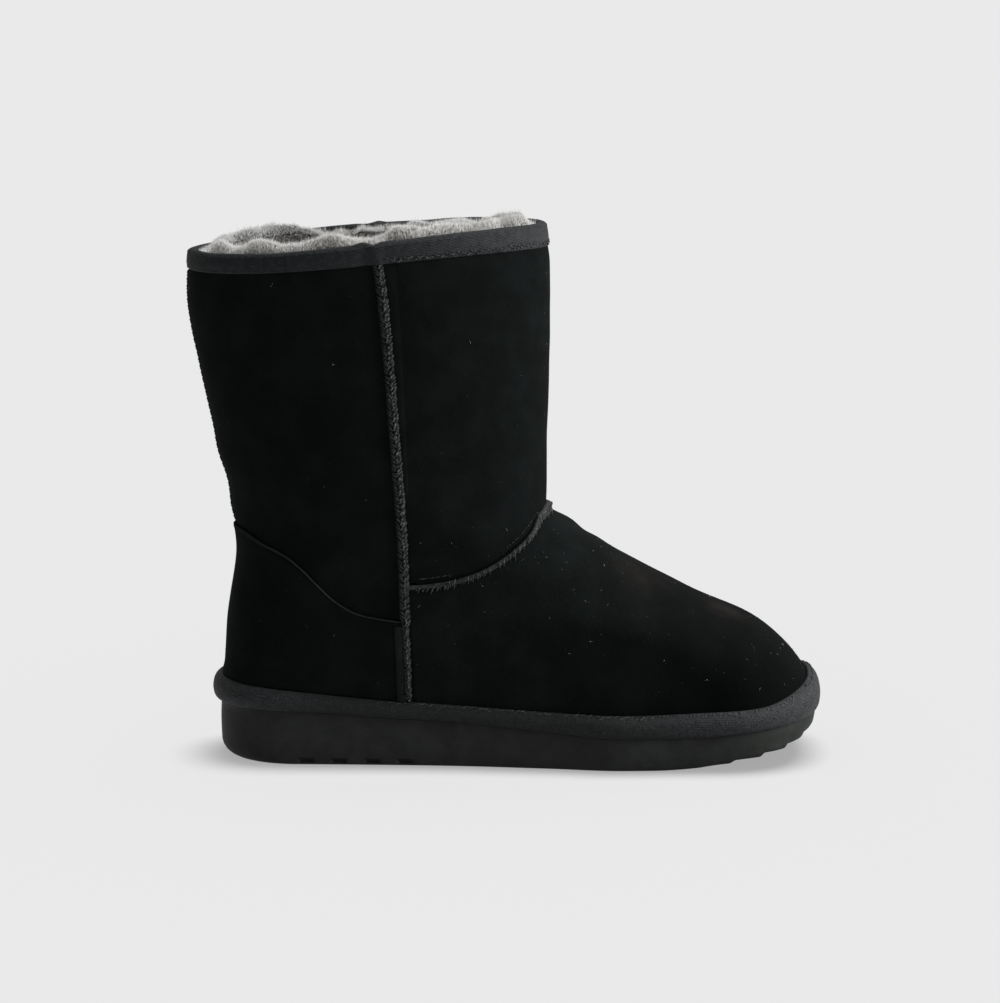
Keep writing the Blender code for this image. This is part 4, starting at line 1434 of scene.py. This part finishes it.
def locks(name, roots, aims, per_lock, spread, width, seed):
    """Wool in locks: fibres start round their lock's root and curl in near its tip.

    A fibre's middle is thrown aside, so that each lock bends its own way.
    """
    random = np.random.default_rng(seed)
    lock = np.repeat(np.arange(len(roots)), per_lock)
    count = len(lock)
    reach = np.linalg.norm(aims, axis=-1)[lock][:, None]
    start = roots[lock] + random.normal(scale=spread, size=(count, 3))
    tip = roots[lock] + aims[lock] * random.uniform(0.7, 1.1, (count, 1))
    tip += random.normal(scale=0.8 * spread, size=(count, 3))
    bend = random.normal(scale=0.12, size=(len(roots), 3))[lock] + random.normal(scale=0.07, size=(count, 3))
    middle = 0.45 * start + 0.55 * tip + bend * reach
    shade = 0.72 + 0.28 * noise(start, 6.0, 24) + random.normal(scale=0.06, size=count)
    widths = width * random.uniform(0.7, 1.3, count)
    return fibres(name, start, middle, tip, widths, PILE_WOOL, np.clip(shade, 0.0, 1.0))


BACK_HALF, FRONT_HALF = (-1.0, 1.0), (1.0, 3.0)
WALL_WOOL = table(
    "Wool", "name turn_range drop_range count per_lock spread width seed",
    ("shaft_wool_back", BACK_HALF, (3.0, 28.0), 720, 9, 1.0, 0.30, 45),
    ("shaft_wool_front", FRONT_HALF, (3.0, 28.0), 720, 9, 1.0, 0.30, 47),
    ("ankle_wool", (0.0, 4.0), (26.0, 195.0), 1000, 7, 1.9, 0.85, 49),
)


def wall_locks(name, turn_range, drop_range, count, per_lock, spread, width, seed):
    """Locks that grow out of the pelt, mostly inwards and up."""
    random = np.random.default_rng(seed)
    turn = random.uniform(*turn_range, count)
    drop = random.uniform(*drop_range, count)
    rise = rise_below_rim(drop)
    root = off_last(turn, rise, -WALL + 3.0)
    inward = -outward(turn, rise)
    along = np.cross(outward(turn, rise), UPWARDS)
    length = PILE * random.uniform(0.55, 0.95, count)
    up = random.normal(0.45, 0.45, count)
    side = random.normal(0.0, 0.5, count)
    aim = inward + up[:, None] * UPWARDS + side[:, None] * along
    aim *= (length / np.linalg.norm(aim, axis=-1))[:, None]
    return locks(name, root, aim, per_lock, spread, width, seed + 1)


def fleece_place(turn, across):
    """Top of the fleece: across runs from 0 behind the binding, over the mound, to 1 at the wall.

    Its section is part of an ellipse that reaches as high as the fringe stands there, with tufts.
    Past 1 it goes straight down the wall.
    """
    turn, across = np.broadcast_arrays(turn, across)
    angle = math.pi * (0.94 - 0.83 * np.minimum(across, 1.0))
    stand = read(FRINGES, "turn", "stand", turn % 4.0) - FLUFF
    stand = stand + 0.4 * noise(rim_place(turn, 0.0, 0.0), 6.0, 23)
    down = FLEECE_DEPTH * np.maximum(across - 1.0, 0.0) / (FLEECE_END - 1.0)
    depth = BINDING_LIP + 0.1 + 3.7 * (1.0 + np.cos(angle)) - 0.15 * down
    level = (stand + 2.5) * np.sin(angle) - 2.5 - down
    under = rim_place(turn, np.maximum(-level, 0.0), -depth)
    tufts = (0.5 * noise(under, 6.5, 25) + 0.15 * noise(under, 2.6, 26)) * ease(across * 4.0)
    return rim_place(turn, -(level + tufts), -depth - 0.6 * tufts)


def make_fleece():
    """Mass of the wool round the collar: up from behind the binding, over its mound and down inside."""
    turns = np.linspace(0.0, 4.0, 500, endpoint=False)
    loops = [rim_place(turns, 20.0, -WALL + 2.5), rim_place(turns, 4.0, -BINDING_LIP - 0.1)]
    loops += [fleece_place(turns, across) for across in np.linspace(0.0, FLEECE_END, 22)]
    fleece = ring_piece("collar_fleece", loops, FLEECE_WOOL)
    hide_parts("upper")


def collar_fluff(name, turn_range, count, width, seed):
    """Fluff on the fleece: short straight fibres off the mound, combed the way that slow noise points.

    Each is a spike with three sides. Their tone holds painted shade: darker over the mound towards the wall,
    on the collar's inner half and at the heel.
    """
    random = np.random.default_rng(seed)
    turn = random.uniform(*turn_range, count)
    across = random.uniform(0.0, FLEECE_END, count)
    root = fleece_place(turn, across)
    lean = 0.9 * across ** 1.3 - 0.1 + 0.35 * noise(root, 7.0, 61) + random.normal(0.0, 0.09, count)
    side = 0.45 * noise(root, 7.0, 62) + random.normal(0.0, 0.10, count)
    inward = -outward(turn, np.full(count, 2.0))
    along = np.cross(-inward, UPWARDS)
    aim = unit(np.maximum(lean, -0.25)[:, None] * inward + side[:, None] * along + UPWARDS)
    stray = 1.0 + 0.6 * (random.uniform(size=count) < 0.10)
    length = (FLUFF + 0.7) * random.uniform(0.6, 1.05, count) * (1.0 + 0.3 * noise(root, 5.0, 63)) * stray
    second = unit(np.cross(aim, random.normal(size=(count, 3))))
    third = np.cross(aim, second)
    start = root - 0.5 * aim
    tip = root + length[:, None] * aim
    points = np.stack(triangle(start, width, second, third) + [tip], axis=1)
    faces = [copies(np.array([(0, 2, 1)] + [(3, i, (i + 1) % 3) for i in range(3)]), count, 4)]
    # Painted shade: darker towards the wall, on the inner half and at the heel, where the collar's inside
    # lies in shade.
    inner_side = 0.5 - 0.5 * np.sin(0.5 * math.pi * turn)
    shade = 1.15 - 0.25 * inner_side - (0.85 + 0.45 * inner_side) * across
    shade -= 0.60 * bell(from_heel(turn) / 0.26)
    shade += 0.26 * noise(root, 7.0, 24) + random.normal(0.0, 0.05, count)
    shades = np.clip(shade, 0.0, 1.0)[:, None] * np.array((0.65, 0.65, 0.65, 1.0))
    return new_piece(name, points, faces, PILE_WOOL, tone=shades)


def foot_locks(name, count, per_lock, spread, width, seed):
    """Locks on the footbed, which lean every way."""
    random = np.random.default_rng(seed)
    turn = random.uniform(0.0, 4.0, count)
    inside = off_last(turn, 0.0, -(WALL + 3.0))
    axis = axis_side(inside[:, 0])
    share = np.sqrt(random.uniform(0.0, 1.0, count))
    inside[:, 1] = axis + (inside[:, 1] - axis) * share
    inside[:, 2] = ledge_height(np.clip(inside[:, 0], 0.0, LENGTH)) + 0.8 * INSOLE_THICKNESS
    aim = random.normal(0.0, 0.5, (count, 3))
    aim[:, 2] = np.abs(aim[:, 2]) + 0.8
    aim *= 0.6 * PILE / np.linalg.norm(aim, axis=-1, keepdims=True)
    return locks(name, inside, aim, per_lock, spread, width, seed + 1)


def make_wool():
    make_insole()
    make_pelt()
    make_fleece()
    for name, turns, seed in (("collar_wool_back", BACK_HALF, 41), ("collar_wool_front", FRONT_HALF, 43)):
        collar_fluff(name, turns, count=40000, width=0.185, seed=seed)
    for row in WALL_WOOL:
        wall_locks(*row)
    foot_locks("insole_locks", count=560, per_lock=6, spread=1.6, width=0.65, seed=51)


def make_lint():
    """Stray fibres lying on the suede, most of them on the vamp."""
    random = np.random.default_rng(61)
    count = 420
    on_vamp = random.uniform(size=count) < 0.6
    turn = np.where(on_vamp, random.uniform(1.0, 3.0, count), random.uniform(0.0, 4.0, count))
    rise = np.where(on_vamp, random.uniform(0.05, 1.0, count), random.uniform(0.05, 1.9, count))
    on_counter = (from_heel(turn) < 1.0) & (rise < counter_edge(turn))
    root = off_suede(turn, rise, 0.1 + (COUNTER_LIFT) * on_counter)
    along = unit(np.cross(outward(turn, rise), random.normal(size=(count, 3))))
    length = 0.4 + 2.6 * random.uniform(0.0, 1.0, count) ** 3
    tip = root + along * length[:, None]
    middle = (root + tip) / 2.0 + outward(turn, rise) * 0.2
    shade = random.uniform(0.0, 1.0, count) ** 1.5
    fibres("suede_lint", root, middle, tip, np.full(count, 0.16), LINT_FIBRE, shade)


# ---------------------------------------------------------------- floor, light and camera

VIEW_TARGET = (-0.00285, 0.0, 0.112)
VIEW_ELEVATION = math.radians(10.0)
VIEW_DISTANCE = 2.5
VIEW_LENS = 201.7
PALE = 0.813                           # grey level of the studio: the floor's glow and the room


def place_camera():
    data = bpy.data.cameras.new("camera")
    data.lens = VIEW_LENS
    data.sensor_width = 36.0
    data.clip_end = 100.0
    camera = bpy.data.objects.new("camera", data)
    camera.location = (
        VIEW_TARGET[0],
        VIEW_TARGET[1] - VIEW_DISTANCE * math.cos(VIEW_ELEVATION),
        VIEW_TARGET[2] + VIEW_DISTANCE * math.sin(VIEW_ELEVATION),
    )
    camera.rotation_euler = (math.pi / 2.0 - VIEW_ELEVATION, 0.0, 0.0)
    bpy.context.scene.collection.objects.link(camera)
    bpy.context.scene.camera = camera


def make_floor():
    """Plain pale sheet that gives off part of its own light, so that shadows on it stay soft."""
    half = 10.0
    mesh = bpy.data.meshes.new("floor")
    corners = ((-half, -half, 0.0), (half, -half, 0.0), (half, half, 0.0), (-half, half, 0.0))
    mesh.from_pydata(corners, [], [(0, 1, 2, 3)])
    sheet, _, shader, _ = new_finish("pale_floor")
    feed(shader, {
        "Base Color": (*grey(0.38), 1.0),
        "Roughness": 1.0,
        "Specular IOR Level": 0.0,
        "Emission Color": (*grey(PALE), 1.0),
        "Emission Strength": 0.455,
    })
    mesh.materials.append(sheet)
    floor = bpy.data.objects.new("floor", mesh)
    bpy.context.scene.collection.objects.link(floor)


def add_lamp(name, kind, azimuth, elevation, energy, lit, distance=0.0, **settings):
    """Light from a direction that falls only on the pieces in lit.

    azimuth turns from +X and elevation is above the floor, in degrees. distance is from the middle
    of the boot, and a sun needs none.
    """
    data = bpy.data.lights.new(name, kind)
    data.energy = energy
    for setting, value in settings.items():
        setattr(data, setting, value)
    lamp = bpy.data.objects.new(name, data)
    azimuth, elevation = math.radians(azimuth), math.radians(elevation)
    level = distance * math.cos(elevation)
    lamp.location = (
        level * math.cos(azimuth),
        level * math.sin(azimuth),
        VIEW_TARGET[2] + distance * math.sin(elevation),
    )
    lamp.rotation_euler = (0.0, math.pi / 2.0 - elevation, azimuth)
    bpy.context.scene.collection.objects.link(lamp)
    lamp.light_linking.receiver_collection = collected("lit_by_" + name, lit)
    return lamp


def collected(name, pieces):
    """Collection of some pieces, for a lamp to be told of."""
    group = bpy.data.collections.new(name)
    for piece in pieces:
        group.objects.link(piece)
    return group


def light_studio():
    """Dim room, a high light and a softbox at the toe end for the boot, and one from above for the floor.

    Only sole and rand block the light from above, so the shaft throws no shadow on the floor.
    """
    world = bpy.data.worlds.new("studio")
    world.use_nodes = True
    background = world.node_tree.nodes["Background"]
    feed(background, {"Color": (*grey(PALE), 1.0), "Strength": 0.25})
    bpy.context.scene.world = world
    meshes = [thing for thing in bpy.context.scene.objects if thing.type == "MESH"]
    boot = [piece for piece in meshes if piece.name != "floor"]
    floor = [piece for piece in meshes if piece.name == "floor"]
    add_lamp("high", "SUN", 80.0, 74.0, energy=2.2, lit=boot, angle=math.radians(40.0))
    overhead = add_lamp("overhead", "SUN", 54.0, 72.0, energy=3.25, lit=floor, angle=math.radians(44.0))
    add_lamp("softbox", "AREA", -12.0, 24.0, energy=15.0, lit=boot, distance=0.95, shape="SQUARE", size=0.6)
    low = [piece for piece in boot if piece.name.startswith(("outsole", "rand"))]
    overhead.light_linking.blocker_collection = collected("shading_the_floor", low)
    bpy.context.scene.view_settings.view_transform = "Standard"


place_camera()
make_floor()
make_suede()
for side in SIDES:
    make_side_seam(side.label + "_side_seam", side.turn, side.forwards)
make_vamp_seam()
make_back_seam()
make_counter_edge()
make_binding()
make_rand()
make_outsole()
make_wool()
make_lint()
light_studio()
